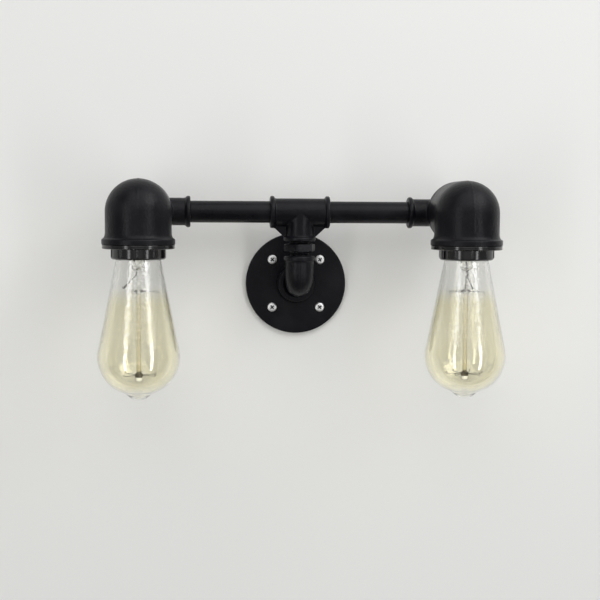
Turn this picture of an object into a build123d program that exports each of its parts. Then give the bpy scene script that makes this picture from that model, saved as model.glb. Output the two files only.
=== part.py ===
from build123d import *
import os
from math import acos, atan2, cos, degrees, hypot, pi, radians, sin, sqrt, tan

# Two-lamp industrial wall light made of black iron pipe fittings.
# Millimetres. The origin is the centre of the flange's back face, on the wall.
# +Z is up, +X is along the pipes and +Y goes into the wall, so the light stands out to -Y.

# ---- wall flange -------------------------------------------------------------------------
FLANGE_OD = 84.0
FLANGE_T = 5.0
FLANGE_EDGE_R = 1.2
HUB_OD = 30.5
HUB_H = 14.0  # from the wall to the hub's face
HUB_ROOT_R = 2.5
HUB_CHAMFER = 1.0
SCREW_SPACING = 40.0  # side of the square that the four screws stand on
SCREW_HOLE_D = 5.0

# ---- mounting screws ---------------------------------------------------------------------
SCREW_HEAD_D = 7.9
SCREW_HEAD_H = 2.8
SCREW_HEAD_EDGE_R = 1.5
SCREW_NECK_D = 3.6
SCREW_THREAD_D = 4.0
SCREW_DEPTH = 26.0  # how far a screw reaches into the wall
SCREW_POINT_H = 5.0
SCREW_NECK_DEPTH = 0.2  # how far its neck goes past the flange's back

# ---- pipe and its fittings, three-eighths size -------------------------------------------
PIPE_OD = 17.6
PIPE_BORE = 12.6
PIPE_SHOWN = 64.1  # between the tee's mouth and the side elbow's mouth
PIPE_END_CHAMFER = 0.8
THREAD_GRIP = 10.0  # how far a threaded end goes into a fitting
THREAD_FIT = 0.05  # radial clearance of a threaded end in its port
PORT_FLOOR = 0.5  # from a threaded end to the bottom of its port
FITTING_BORE = 14.0
BEAD_EASE = 1.2  # rounding of a bead's edges
BEAD_COVE = 0.9  # rounding of the corner behind a bead
MOUTH_CHAMFER = 0.6
CUT_PAST = 1.0  # how far a cutting shape runs past the face that it opens

TEE_LENGTH = 48.4
TEE_BRANCH = 23.6  # from the run's axis to the branch's mouth
TEE_BODY_OD = 22.2
TEE_BEAD_OD = 26.1
TEE_BEAD_W = 3.6
TEE_GUSSET_T = 2.6
TEE_GUSSET_INSET = 0.6  # its edge lies this far inside the beads' rims
TEE_GUSSET_GRIP = 0.5  # and it runs this far into them
TEE_ROOT_R = 2.0

ELBOW_RISE = 24.6  # from the street elbow's centre to its upper mouth
ELBOW_MALE = 36.0  # from its centre to the end of its threaded leg
ELBOW_BODY_OD = 23.0
ELBOW_BACK_OD = 18.4  # its body narrows to this round the bend
ELBOW_BEAD_OD = 25.4
ELBOW_BEAD_W = 4.3
ELBOW_BEND_R = 12.5
ELBOW_BODY_BACK = 17.0  # from its centre to the shoulder of its threaded leg

HEX_FLATS = 23.0
HEX_T = 5.7
HEX_TURN = -16.7  # degrees that one corner stands away from straight ahead
HEX_CROWN = 1.2  # how far the hexagon's corners are turned down
NIPPLE_GAP_TOP = 2.4
NIPPLE_GAP_BOTTOM = 3.7

# ---- heads: a lamp elbow on a reducing side elbow ----------------------------------------
HEAD_OD = 51.2
HEAD_WALL = 3.6
ARM_REACH = 39.9  # from the lamp's axis to the mouth of the side arm
ARM_OD = 22.2
ARM_BEAD_OD = 25.4
ARM_BEAD_W = 3.6
ARM_ROOT_R = 2.5
SIDE_FRONT = 15.4  # from the arm's axis forward to the side elbow's rim
SIDE_STRAIGHT = 2.8  # straight part of its wall, before the dome
LAMP_REAR = 28.6  # from the lamp's axis back to the lamp elbow's rim
LAMP_DROP = 25.0  # from the lamp elbow's centre down to its lower mouth
LAMP_BAND_OD = 56.6
LAMP_BAND_H = 4.0
LAMP_BAND_EDGE_R = 0.8
LAMP_COVE_R = 3.4
SEAM_W = 1.3  # the casting's parting line
SEAM_H = 0.35
SEAM_EASE = 0.25
JOIN_OD = 42.0  # hidden nipple between the two elbows of a head
JOIN_WALL = 3.4
JOIN_GRIP = 6.3

# ---- lampholder and its shade ring -------------------------------------------------------
HOLDER_OD = 39.5
HOLDER_FIT = 0.05  # radial clearance of its outer thread
HOLDER_MOUTH_D = 37.4
HOLDER_SHORT = 0.3  # the holder's rim stands this far up inside the shade ring
HOLDER_CAP_OD = 38.8
HOLDER_CAP_H = 8.0
HOLDER_CAP_WALL = 1.9
HOLDER_HUB_OD = 12.0
HOLDER_HUB_H = 2.4
RING_FLANGE_OD = 56.0
RING_FLANGE_T = 3.5
RING_EDGE_R = 0.9
RING_GROOVE_W = 0.5  # groove round the flange's edge
RING_GROOVE_DEPTH = 0.3
RING_SKIRT_OD = 42.4
RING_SKIRT_H = 8.0
RING_SKIRT_CHAMFER = 1.0
RING_RIBS = 10
RING_RIB_R = 1.5
RING_RIB_PROUD = 0.5
SHELL_WALL = 0.5  # brass screw shell
SHELL_FIT = 0.15  # radial clearance of the lamp cap in it
SHELL_TO_BODY = 0.5
SHELL_RIM_W = 2.0
INSERT_OD = 34.4  # porcelain insert that carries the contacts
INSERT_T = 5.0
SEAT_DEPTH = 1.7  # how deep the insert sits in the body
INSERT_FIT = 0.15
INSERT_EDGE_R = 0.6
SHELL_LIP_H = 0.5  # the brass shell and the body's throat start this far above the lamp cap's rim
LEAF_W = 7.0
LEAF_LENGTH = 16.0
LEAF_T = 0.5
LEAF_DIMPLE_D = 6.0
CONTACT_GAP = 0.1  # the lamp's tip to the leaf's dimple
TERMINAL_PITCH = 19.0
TERMINAL_HEAD_D = 5.4
TERMINAL_HEAD_H = 1.8

# ---- lamps: E27 cap, drop-shaped glass 64 mm across --------------------------------------
CAP_OD = 26.2
CAP_LENGTH = 26.9  # from the contact's tip to the cap's rim
CAP_RIM_UP = 6.0  # the cap's rim stands this far above the shade ring's lower edge
CAP_SHELL_H = 20.0
CAP_WALL = 0.5
CAP_TOP_OD = 22.6
TIP_D = 9.4
TIP_H = 1.2
GLASS_OD = 64.0
GLASS_T = 1.0
GLASS_BELLY_R = 29.0
GLASS_LENGTH = 109.2  # from the shade ring's lower edge to the glass's tip
MOUTH_GAP = 1.0  # from the glass to the lampholder's mouth
SHOULDER_R = 5.2
SHOULDER_DROP = 1.6  # from the cap's rim down to the glass's shoulder
NECK_FIT = 0.2  # radial clearance of the glass's neck in the cap
NECK_LENGTH = 3.6  # how far the neck goes up inside the cap
PIP_D = 21.0
PIP_NOSE_D = 9.8
PIP_NOSE_H = 1.1
STEM_FLARE_GAP = 0.4  # from the stem's flare to the neck's inner face
STEM_TUBE_D = 9.0
PRESS_DEPTH = 9.5  # below the shade ring's lower edge
BUTTON_DEPTH = 24.8  # the upper button, below the same edge
BUTTON_TIP_GAP = 19.2  # the lower button, above the glass's tip
STEM_THIN_D = 2.8
STEM_ROD_D = 4.2
BUTTON_D = 6.4
BUTTON_H = 3.2
SUPPORT_D = 0.5
SUPPORT_REACH = 14.8
HOOK_DROP = 1.6
LEAD_WIRE_D = 0.8
LEAD_ROOT_DEPTH = 3.0  # where the lead wires leave the stem's tube, below the shade ring's edge
FILAMENT_D = 0.4
FILAMENT_LOOP_W = 1.2  # the filament's turn over a hook
UPPER_SUPPORTS = 5
LOWER_SUPPORTS = 6

# ---- leads inside the pipework -----------------------------------------------------------
LEAD_D = 4.4
LEAD_SPACING = 5.2
LEAD_BEND_R = 13.0
LEAD_SHORT = 2.5  # the ends stop this far inside the street elbow's threaded leg
LEAD_JOINT_GAP = 0.1  # between the lead in the pipe and the lead in the turning head
HEAD_LEAD_BENDS = (9.0, 12.0, 11.0, 5.0)  # radii, from the pipe to the lampholder
HEAD_LEAD_TURN = 5.0  # it leaves the arm's axis this far before the lamp's
HEAD_LEAD_LIFT_H = 6.0  # its height where it passes the joining nipple
HEAD_LEAD_ARCH_H = 6.4  # its height over the lampholder's hub
HEAD_LEAD_ARCH_W = 10.0  # from the lamp's axis back to where it levels out

# ---- where things stand ------------------------------------------------------------------
STANDOFF = HUB_H - THREAD_GRIP + ELBOW_MALE
PIPE_Z = ELBOW_RISE + NIPPLE_GAP_BOTTOM + HEX_T + NIPPLE_GAP_TOP + TEE_BRANCH
ARM_FACE_X = TEE_LENGTH / 2 + PIPE_SHOWN
LAMP_X = ARM_FACE_X + ARM_REACH
LAMP_OUT = SIDE_FRONT + LAMP_REAR  # from the pipe's axis forward to the lamp's axis
PORT_R = PIPE_OD / 2 + THREAD_FIT
HEAD_R = HEAD_OD / 2

# heights in the head, from the centre of the lamp elbow
RING_TOP = -LAMP_DROP
RING_LOW = RING_TOP - RING_FLANGE_T - RING_SKIRT_H
CAP_RIM = RING_LOW + CAP_RIM_UP
TIP_TOP = CAP_RIM + CAP_LENGTH
LEAF_LOW = TIP_TOP + CONTACT_GAP
INSERT_LOW = LEAF_LOW + 2 * LEAF_T
INSERT_TOP = INSERT_LOW + INSERT_T
BODY_TOP = INSERT_LOW + SEAT_DEPTH
SHELL_R = CAP_OD / 2 + SHELL_FIT
NECK_R = CAP_OD / 2 - CAP_WALL - NECK_FIT
GLASS_TIP = RING_LOW - GLASS_LENGTH
BUTTON_TOP = RING_LOW - BUTTON_DEPTH
BUTTON_LOW = GLASS_TIP + BUTTON_TIP_GAP


def turned(corners):
    """A solid turned about Z from its half outline, given as (radius, height, rounding)."""
    points = [Vector(r, 0, z) for r, z, _ in corners]
    edges, ends = [], []
    for i, (_, _, ease) in enumerate(corners):
        here = points[i]
        back = (points[i - 1] - here).normalized()
        on = (points[(i + 1) % len(points)] - here).normalized()
        if not ease:
            ends.append((here, here))
            continue
        half = radians(back.get_angle(on) / 2)
        start, end = here + back * (ease / tan(half)), here + on * (ease / tan(half))
        middle = here + (back + on).normalized() * (ease / sin(half) - ease)
        edges.append(ThreePointArc(start, middle, end))
        ends.append((start, end))
    for i, (_, leaves) in enumerate(ends):
        arrives = ends[(i + 1) % len(ends)][0]
        edges.append(Line(leaves, arrives))
    return revolve(Face(Wire(edges)), Axis.Z, 360)


def cylinder(radius, low, high):
    """A plain cylinder about Z between two heights."""
    return Pos(0, 0, (low + high) / 2) * Cylinder(radius, high - low)


def rod(start, end, radius):
    """A straight round rod between two points."""
    run = Vector(*end) - Vector(*start)
    return Solid.make_cylinder(radius, run.length, Plane(origin=start, z_dir=run))


def out_of_wall(shape):
    """Turns what was made along +Z so that it points away from the wall."""
    return Rot(90, 0, 0) * shape


def into_wall(shape):
    """Turns what was made along +Z so that it points to the wall."""
    return Rot(-90, 0, 0) * shape


def sideways(shape):
    """Turns what was made along +Z so that it points along +X."""
    return Rot(0, 90, 0) * shape


def mouth_bore(mouth):
    """What is cut out of a fitting at a mouth at this height, its port opening upwards."""
    floor = mouth - THREAD_GRIP - PORT_FLOOR
    lip = PORT_R + MOUTH_CHAMFER
    port = cylinder(PORT_R, floor, mouth + CUT_PAST)
    chamfer = turned([(0, mouth - MOUTH_CHAMFER, 0), (PORT_R, mouth - MOUTH_CHAMFER, 0),
                      (lip, mouth, 0), (lip, mouth + CUT_PAST, 0), (0, mouth + CUT_PAST, 0)])
    return port + chamfer


def beaded_leg(body_od, bead_od, bead_w, length):
    """A fitting's leg along +Z, with a rounded bead round its mouth."""
    step = length - bead_w
    return turned([(0, 0, 0), (body_od / 2, 0, 0), (body_od / 2, step, BEAD_COVE),
                   (bead_od / 2, step, BEAD_EASE), (bead_od / 2, length, BEAD_EASE), (0, length, 0)])


def bend_between(top_radius, back_radius, bend):
    """A round quarter bend from looking up to looking into the wall, its corner at the origin."""
    inside = bend * (1 - sin(pi / 4))
    path = ThreePointArc((0, 0, bend), (0, inside, inside), (0, bend, 0))
    sections = [Plane(origin=path @ 0, z_dir=path % 0) * Circle(top_radius),
                Plane(origin=path @ 1, z_dir=path % 1) * Circle(back_radius)]
    return sweep(sections, path=path, multisection=True)


def lead_tube(points, radii, diameter):
    """A round lead along straight runs joined by arcs."""
    path = FilletPolyline(*points, radius=radii)
    section = Plane(origin=path @ 0, z_dir=path % 0) * Circle(diameter / 2)
    return sweep(section, path=path)


# ---- the pieces on the wall --------------------------------------------------------------
def wall_flange():
    rim, hub = FLANGE_OD / 2, HUB_OD / 2
    bore = PORT_R
    body = turned([(bore, 0, 0), (rim, 0, 0), (rim, FLANGE_T, FLANGE_EDGE_R), (hub, FLANGE_T, HUB_ROOT_R),
                   (hub, HUB_H - HUB_CHAMFER, 0), (hub - HUB_CHAMFER, HUB_H, 0), (bore, HUB_H, 0)])
    for place in GridLocations(SCREW_SPACING, SCREW_SPACING, 2, 2):
        body -= place * cylinder(SCREW_HOLE_D / 2, -CUT_PAST, HUB_H)
    return out_of_wall(body)


def mounting_screw():
    """One pan-head screw, its head on the flange and its thread in the wall."""
    head, neck, thread = SCREW_HEAD_D / 2, SCREW_NECK_D / 2, SCREW_THREAD_D / 2
    top = FLANGE_T + SCREW_HEAD_H
    shoulder = -SCREW_NECK_DEPTH
    return turned([(0, -SCREW_DEPTH, 0), (thread, SCREW_POINT_H - SCREW_DEPTH, 0), (thread, shoulder, 0),
                   (neck, shoulder, 0), (neck, FLANGE_T, 0), (head, FLANGE_T, 0),
                   (head, top, SCREW_HEAD_EDGE_R), (0, top, 0)])


def mounting_screws():
    screws = [place * mounting_screw() for place in GridLocations(SCREW_SPACING, SCREW_SPACING, 2, 2)]
    return out_of_wall(Compound(children=screws))


def street_elbow():
    """Male leg in the flange's hub, a swept bend, and a beaded mouth that looks up."""
    back_r, bend = ELBOW_BACK_OD / 2, ELBOW_BEND_R
    upright = Pos(0, 0, bend) * beaded_leg(ELBOW_BODY_OD, ELBOW_BEAD_OD, ELBOW_BEAD_W, ELBOW_RISE - bend)
    knee = bend_between(ELBOW_BODY_OD / 2, back_r, bend)
    back = into_wall(cylinder(back_r, bend, ELBOW_BODY_BACK))
    male = into_wall(turned([(0, ELBOW_BODY_BACK, 0), (PIPE_OD / 2, ELBOW_BODY_BACK, 0),
                             (PIPE_OD / 2, ELBOW_MALE - PIPE_END_CHAMFER, 0),
                             (PIPE_OD / 2 - PIPE_END_CHAMFER, ELBOW_MALE, 0), (0, ELBOW_MALE, 0)]))
    hollow = bend_between(PIPE_BORE / 2, PIPE_BORE / 2, bend)
    hollow += cylinder(PIPE_BORE / 2, bend, ELBOW_RISE) + into_wall(cylinder(PIPE_BORE / 2, bend, ELBOW_MALE + CUT_PAST))
    shape = upright + knee + back + male - hollow - mouth_bore(ELBOW_RISE)
    return Pos(0, -STANDOFF, 0) * shape


def hex_nipple():
    """Hexagon with a threaded end up into the tee and one down into the street elbow."""
    reach = hypot(HEX_FLATS / 2, HEX_FLATS / 2 * tan(pi / 6))
    low = ELBOW_RISE + NIPPLE_GAP_BOTTOM
    high = low + HEX_T
    blank = extrude(Pos(0, 0, low) * RegularPolygon(reach, 6), HEX_T)
    crown = turned([(0, low, 0), (reach - HEX_CROWN, low, 0), (reach, low + HEX_CROWN / 2, 0),
                    (reach, high - HEX_CROWN / 2, 0), (reach - HEX_CROWN, high, 0), (0, high, 0)])
    ends = cylinder(PIPE_OD / 2, ELBOW_RISE - THREAD_GRIP, high + NIPPLE_GAP_TOP + THREAD_GRIP)
    bore = cylinder(PIPE_BORE / 2, 0, PIPE_Z)
    return Pos(0, -STANDOFF, 0) * (Rot(0, 0, HEX_TURN - 90) * (blank & crown) + ends - bore)


def tee():
    half, body = TEE_LENGTH / 2, TEE_BODY_OD / 2
    leg = beaded_leg(TEE_BODY_OD, TEE_BEAD_OD, TEE_BEAD_W, half)
    branch = Rot(180, 0, 0) * beaded_leg(TEE_BODY_OD, TEE_BEAD_OD, TEE_BEAD_W, TEE_BRANCH)
    run = sideways(leg) + sideways(Rot(0, 180, 0) * leg)
    shape = run + branch
    shape = fillet(new_edges(run, branch, combined=shape), TEE_ROOT_R)
    inner, rim = body - TEE_GUSSET_GRIP, TEE_BEAD_OD / 2 - TEE_GUSSET_INSET
    outer, foot = (length - TEE_BEAD_W + TEE_GUSSET_GRIP for length in (half, TEE_BRANCH))
    web = Polyline((inner, -inner), (outer, -inner), (outer, -rim), (rim, -foot), (inner, -foot),
                   close=True)
    gusset = extrude(Plane.XZ * make_face(web), TEE_GUSSET_T / 2, both=True)
    shape += gusset + mirror(gusset, about=Plane.YZ)
    shape -= sideways(cylinder(FITTING_BORE / 2, -half, half)) + cylinder(FITTING_BORE / 2, -TEE_BRANCH, 0)
    shape -= sideways(mouth_bore(half)) + sideways(Rot(0, 180, 0) * mouth_bore(half))
    shape -= Rot(180, 0, 0) * mouth_bore(TEE_BRANCH)
    return Pos(0, -STANDOFF, PIPE_Z) * shape


def right_pipe():
    low, high = TEE_LENGTH / 2 - THREAD_GRIP, ARM_FACE_X + THREAD_GRIP
    outer, inner, cut = PIPE_OD / 2, PIPE_BORE / 2, PIPE_END_CHAMFER
    pipe = turned([(inner, low, 0), (outer - cut, low, 0), (outer, low + cut, 0),
                   (outer, high - cut, 0), (outer - cut, high, 0), (inner, high, 0)])
    return Pos(0, -STANDOFF, PIPE_Z) * sideways(pipe)


# ---- the pieces of a head, made about the lamp elbow's centre, for the right-hand side ----
def lamp_elbow():
    """Short elbow: a beaded mouth looks down at the lamp, a plain one looks back."""
    band = LAMP_BAND_OD / 2
    step = LAMP_BAND_H - LAMP_DROP
    dome = Sphere(HEAD_R) & (Pos(0, 0, HEAD_R) * Box(3 * HEAD_R, 3 * HEAD_R, 2 * HEAD_R))
    down = turned([(0, 0, 0), (0, -LAMP_DROP, 0), (band, -LAMP_DROP, LAMP_BAND_EDGE_R),
                   (band, step, LAMP_BAND_EDGE_R), (HEAD_R, step + (band - HEAD_R) / 2, LAMP_COVE_R),
                   (HEAD_R, 0, 0)])
    back = into_wall(cylinder(HEAD_R, 0, LAMP_REAR))
    proud = HEAD_R + SEAM_H
    seam = Sphere(proud) + cylinder(proud, LAMP_BAND_H + LAMP_COVE_R - LAMP_DROP, 0)
    seam += into_wall(cylinder(proud, 0, LAMP_REAR - SEAM_W))
    seam &= Box(SEAM_W, 4 * HEAD_R, 4 * HEAD_R)
    above_mouth = Pos(0, 0, 2 * HEAD_R - LAMP_DROP) * Box(8 * HEAD_R, 8 * HEAD_R, 4 * HEAD_R)
    shape = (dome + down + back + seam) & above_mouth
    cavity = Sphere(HEAD_R - HEAD_WALL) + cylinder(HOLDER_OD / 2 + HOLDER_FIT, -LAMP_DROP - CUT_PAST, 0)
    cavity += into_wall(cylinder(JOIN_OD / 2 - JOIN_WALL, 0, LAMP_REAR))
    grip = JOIN_GRIP + PORT_FLOOR / 2
    cavity += into_wall(cylinder(JOIN_OD / 2 + THREAD_FIT, LAMP_REAR - grip, LAMP_REAR + CUT_PAST))
    return shape - cavity


def side_elbow():
    """Reducing elbow: a wide rim looks forward, a narrow beaded arm goes to the pipe."""
    wall = HEAD_R - HEAD_WALL
    rim = LAMP_REAR
    centre = rim + SIDE_STRAIGHT
    cup = into_wall(cylinder(HEAD_R, rim, centre))
    dome = Pos(0, centre, 0) * (Sphere(HEAD_R) & (Pos(0, HEAD_R, 0) * Box(3 * HEAD_R, 2 * HEAD_R, 3 * HEAD_R)))
    arm = Pos(0, LAMP_OUT, 0) * sideways(Rot(0, 180, 0) * beaded_leg(ARM_OD, ARM_BEAD_OD, ARM_BEAD_W, ARM_REACH))
    body = cup + dome
    shape = body + arm
    shape = fillet(new_edges(body, arm, combined=shape), ARM_ROOT_R)
    port_floor = rim + JOIN_GRIP + PORT_FLOOR / 2
    cavity = Pos(0, centre, 0) * Sphere(wall)
    cavity &= Pos(0, port_floor + 2 * HEAD_R, 0) * Box(4 * HEAD_R, 4 * HEAD_R, 4 * HEAD_R)
    cavity += into_wall(cylinder(JOIN_OD / 2 + THREAD_FIT, rim - CUT_PAST, port_floor))
    bore = sideways(Rot(0, 180, 0) * (cylinder(FITTING_BORE / 2, 0, ARM_REACH) + mouth_bore(ARM_REACH)))
    return shape - cavity - Pos(0, LAMP_OUT, 0) * bore


def joining_nipple():
    """Short hollow nipple, hidden, that holds the head's two elbows together."""
    outer = JOIN_OD / 2
    low, high = LAMP_REAR - JOIN_GRIP, LAMP_REAR + JOIN_GRIP
    return into_wall(cylinder(outer, low, high) - cylinder(outer - JOIN_WALL, low, high))


def shade_ring():
    """Bakelite ring: a wide flange under the elbow's mouth and a ribbed skirt to turn it by."""
    flange, skirt, bore = RING_FLANGE_OD / 2, RING_SKIRT_OD / 2, HOLDER_OD / 2 + HOLDER_FIT
    step = RING_TOP - RING_FLANGE_T
    low, high = (RING_TOP - (RING_FLANGE_T + side * RING_GROOVE_W) / 2 for side in (1, -1))
    groove = flange - RING_GROOVE_DEPTH
    body = turned([(bore, RING_TOP, 0), (bore, RING_LOW, 0), (skirt - RING_SKIRT_CHAMFER, RING_LOW, 0),
                   (skirt, RING_LOW + RING_SKIRT_CHAMFER, 0), (skirt, step, 0), (flange, step, RING_EDGE_R),
                   (flange, low, 0), (groove, low, 0), (groove, high, 0), (flange, high, 0),
                   (flange, RING_TOP, RING_EDGE_R)])
    rib_at = skirt + RING_RIB_PROUD - RING_RIB_R
    for place in PolarLocations(rib_at, RING_RIBS, start_angle=-90):
        body += place * cylinder(RING_RIB_R, RING_LOW + RING_SKIRT_CHAMFER + RING_RIB_PROUD, step)
    return body - cylinder(bore, RING_LOW, RING_TOP)


def holder_body():
    """Threaded bakelite barrel of the lampholder, with a flared mouth round the glass."""
    outer, inner = HOLDER_OD / 2, SHELL_R + SHELL_WALL + SHELL_TO_BODY
    seat = INSERT_OD / 2 + INSERT_FIT
    low, shelf = RING_LOW + HOLDER_SHORT, INSERT_LOW - SHELL_WALL
    return turned([(HOLDER_MOUTH_D / 2, low, 0), (outer, low, 0), (outer, BODY_TOP, 0), (seat, BODY_TOP, 0),
                   (seat, shelf, 0), (inner, shelf, 0), (inner, CAP_RIM + SHELL_LIP_H, 0)])


def holder_cap():
    """Domed bakelite cap that closes the lampholder, with a hub for the lead."""
    outer, hub, hole = HOLDER_CAP_OD / 2, HOLDER_HUB_OD / 2, LEAD_D / 2 + HOLDER_FIT
    top = BODY_TOP + HOLDER_CAP_H
    inner = outer - HOLDER_CAP_WALL
    return turned([(inner, BODY_TOP, 0), (outer, BODY_TOP, 0), (outer, top, HOLDER_CAP_H / 2), (hub, top, 0),
                   (hub, top + HOLDER_HUB_H, 0), (hole, top + HOLDER_HUB_H, 0),
                   (hole, top - HOLDER_CAP_WALL, 0), (inner, top - HOLDER_CAP_WALL, HOLDER_CAP_H / 4)])


def screw_shell():
    """Thin brass shell that the lamp's cap turns in, with a rim under the insert."""
    outer = SHELL_R + SHELL_WALL
    low, rim = CAP_RIM + SHELL_LIP_H, INSERT_LOW - SHELL_WALL
    return turned([(SHELL_R, low, 0), (outer, low, 0), (outer, rim, 0), (outer + SHELL_RIM_W, rim, 0),
                   (outer + SHELL_RIM_W, INSERT_LOW, 0), (SHELL_R, INSERT_LOW, 0)])


def contact_insert():
    """Porcelain disc that carries the contacts."""
    edge = INSERT_OD / 2
    return turned([(0, INSERT_LOW, 0), (edge, INSERT_LOW, 0), (edge, INSERT_TOP, INSERT_EDGE_R),
                   (0, INSERT_TOP, 0)])


def centre_contact():
    """Brass leaf on the insert, with a dimple over the lamp's tip."""
    leaf = Pos(0, 0, INSERT_LOW - LEAF_T / 2) * Box(LEAF_LENGTH, LEAF_W, LEAF_T)
    return fillet(leaf.edges().filter_by(Axis.Z), LEAF_W / 4) + cylinder(LEAF_DIMPLE_D / 2, LEAF_LOW, INSERT_LOW)


def terminal_screws():
    head = cylinder(TERMINAL_HEAD_D / 2, INSERT_TOP, INSERT_TOP + TERMINAL_HEAD_H)
    places = [Pos(-TERMINAL_PITCH / 2, 0, 0), Pos(TERMINAL_PITCH / 2, 0, 0)]
    return Compound(children=[place * head for place in places])


# ---- the pieces of a lamp, on the lamp's axis, heights from the lamp elbow's centre ------
def lamp_contact():
    return turned([(0, TIP_TOP - TIP_H, 0), (TIP_D / 2, TIP_TOP - TIP_H, 0), (TIP_D / 2, TIP_TOP, TIP_H / 2),
                   (0, TIP_TOP, 0)])


def cap_insulator():
    low, high = CAP_RIM + CAP_SHELL_H, TIP_TOP - TIP_H
    return turned([(0, low, 0), (CAP_TOP_OD / 2, low, 0), (TIP_D / 2, high, 0), (0, high, 0)])


def lamp_cap():
    """Plated screw cap, its thread left plain."""
    outer, top = CAP_OD / 2, CAP_RIM + CAP_SHELL_H
    inner = outer - CAP_WALL
    return turned([(inner, CAP_RIM, 0), (outer, CAP_RIM, 0), (outer, top, (outer - CAP_TOP_OD / 2) / 2),
                   (CAP_TOP_OD / 2 - 2, top, 0), (CAP_TOP_OD / 2 - 2, top - CAP_WALL, 0),
                   (inner, top - CAP_WALL, 0)])


def flank_line():
    """Height of the belly's centre, and the angle of the straight flank that leaves the belly."""
    offset = GLASS_OD / 2 - GLASS_BELLY_R
    pip_z = GLASS_TIP + PIP_NOSE_H + (PIP_D - PIP_NOSE_D) / 2
    centre_z = pip_z + sqrt(GLASS_BELLY_R ** 2 - (PIP_D / 2 - offset) ** 2)
    out, up = HOLDER_MOUTH_D / 2 - MOUTH_GAP - offset, RING_LOW - centre_z
    return centre_z, atan2(up, out) - acos(GLASS_BELLY_R / hypot(out, up))


def glass_body(inset):
    """The glass's outer form, or with an inset the hollow in it."""
    centre_z, taper = flank_line()
    belly, offset = GLASS_BELLY_R - inset, GLASS_OD / 2 - GLASS_BELLY_R
    flank = Vector(offset + belly * cos(taper), 0, centre_z + belly * sin(taper))
    up = Vector(-sin(taper), 0, cos(taper))
    shelf, top = CAP_RIM - SHOULDER_DROP - inset, CAP_RIM + NECK_LENGTH
    corner = flank + up * ((shelf - flank.Z) / up.Z)
    ease = (SHOULDER_R - inset) / tan(pi / 4 + taper / 2)
    shoulder_low, shoulder_high = corner - up * ease, corner - Vector(ease, 0, 0)
    pip, nose = (Vector(width / 2 - inset, 0, 0) for width in (PIP_D, PIP_NOSE_D))
    pip.Z = centre_z - sqrt(belly ** 2 - (pip.X - offset) ** 2)
    nose.Z = GLASS_TIP + PIP_NOSE_H + inset
    bottom = -acos((pip.X - offset) / belly)
    lowest = Vector(offset + belly * cos(bottom / 2), 0, centre_z + belly * sin(bottom / 2))
    neck = NECK_R - inset
    tip = Vector(0, 0, GLASS_TIP + inset)
    edges = [Line((0, 0, top), (neck, 0, top)), Line((neck, 0, top), (neck, 0, shelf)),
             Line((neck, 0, shelf), shoulder_high),
             TangentArc(shoulder_low, shoulder_high, tangent=up), Line(shoulder_low, flank),
             ThreePointArc(flank, lowest, pip), Line(pip, nose),
             TangentArc(tip, nose, tangent=Vector(1, 0, 0)), Line(tip, (0, 0, top))]
    return revolve(Face(Wire(edges)), Axis.Z, 360)


def lamp_glass():
    return glass_body(0) - glass_body(GLASS_T)


def lamp_stem():
    """Glass stem: a flared tube from the neck, pressed shut, then a rod with two buttons."""
    tube, thin, thick, button = STEM_TUBE_D / 2, STEM_THIN_D / 2, STEM_ROD_D / 2, BUTTON_D / 2
    press, upper, lower = RING_LOW - PRESS_DEPTH, BUTTON_TOP, BUTTON_LOW
    flare, flare_r = CAP_RIM + NECK_LENGTH, NECK_R - GLASS_T - STEM_FLARE_GAP
    half = BUTTON_H / 2
    ease = half * 0.8
    return turned([(0, flare, 0), (flare_r, flare, 0), (tube, CAP_RIM - 1, 2), (tube, RING_LOW - 2, 1),
                   (thin, press, 1), (thin, upper + half, 0), (button, upper + half, ease),
                   (button, upper - half, ease), (thick, upper - half, 0), (thick, lower + half, 0),
                   (button, lower + half, ease), (button, lower - half, ease), (0, lower - half, 0)])


def cage_angles():
    """Angles of the upper places, lead wires first and last, and of the lower hooks between them."""
    places = UPPER_SUPPORTS + 2
    step = 360 / (places - 0.5)
    upper = [step * i - 180 + step * 0.75 for i in range(places)]
    lower = [(a + b) / 2 for a, b in zip(upper, upper[1:])]
    return upper, lower


def on_cage(angle, height, reach):
    return (reach * cos(radians(angle)), reach * sin(radians(angle)), height)


def hooked_wires(angles, height, hook):
    """Support wires that stand out of a button, each with its end bent over."""
    wires = []
    for angle in angles:
        elbow = on_cage(angle, height, SUPPORT_REACH)
        wire = rod(on_cage(angle, height, BUTTON_D / 2), elbow, SUPPORT_D / 2)
        wire += rod(elbow, on_cage(angle, height + hook, SUPPORT_REACH + hook / 3), SUPPORT_D / 2)
        wires.append(wire.solid())
    return wires


def support_wires():
    upper, lower = cage_angles()
    wires = hooked_wires(upper[1:-1], BUTTON_TOP, -HOOK_DROP) + hooked_wires(lower, BUTTON_LOW, HOOK_DROP)
    return Compound(children=wires)


def lead_wires():
    """Two stiff wires from the press to the ends of the filament."""
    upper, _ = cage_angles()
    wires = []
    for angle in (upper[0], upper[-1]):
        root = on_cage(angle, RING_LOW - LEAD_ROOT_DEPTH, STEM_TUBE_D / 2 + LEAD_WIRE_D)
        knee = on_cage(angle, RING_LOW - PRESS_DEPTH + LEAD_WIRE_D, STEM_TUBE_D / 2 + LEAD_WIRE_D)
        end = on_cage(angle, BUTTON_TOP, SUPPORT_REACH)
        wires.append((rod(root, knee, LEAD_WIRE_D / 2) + rod(knee, end, LEAD_WIRE_D / 2)).solid())
    return Compound(children=wires)


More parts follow.
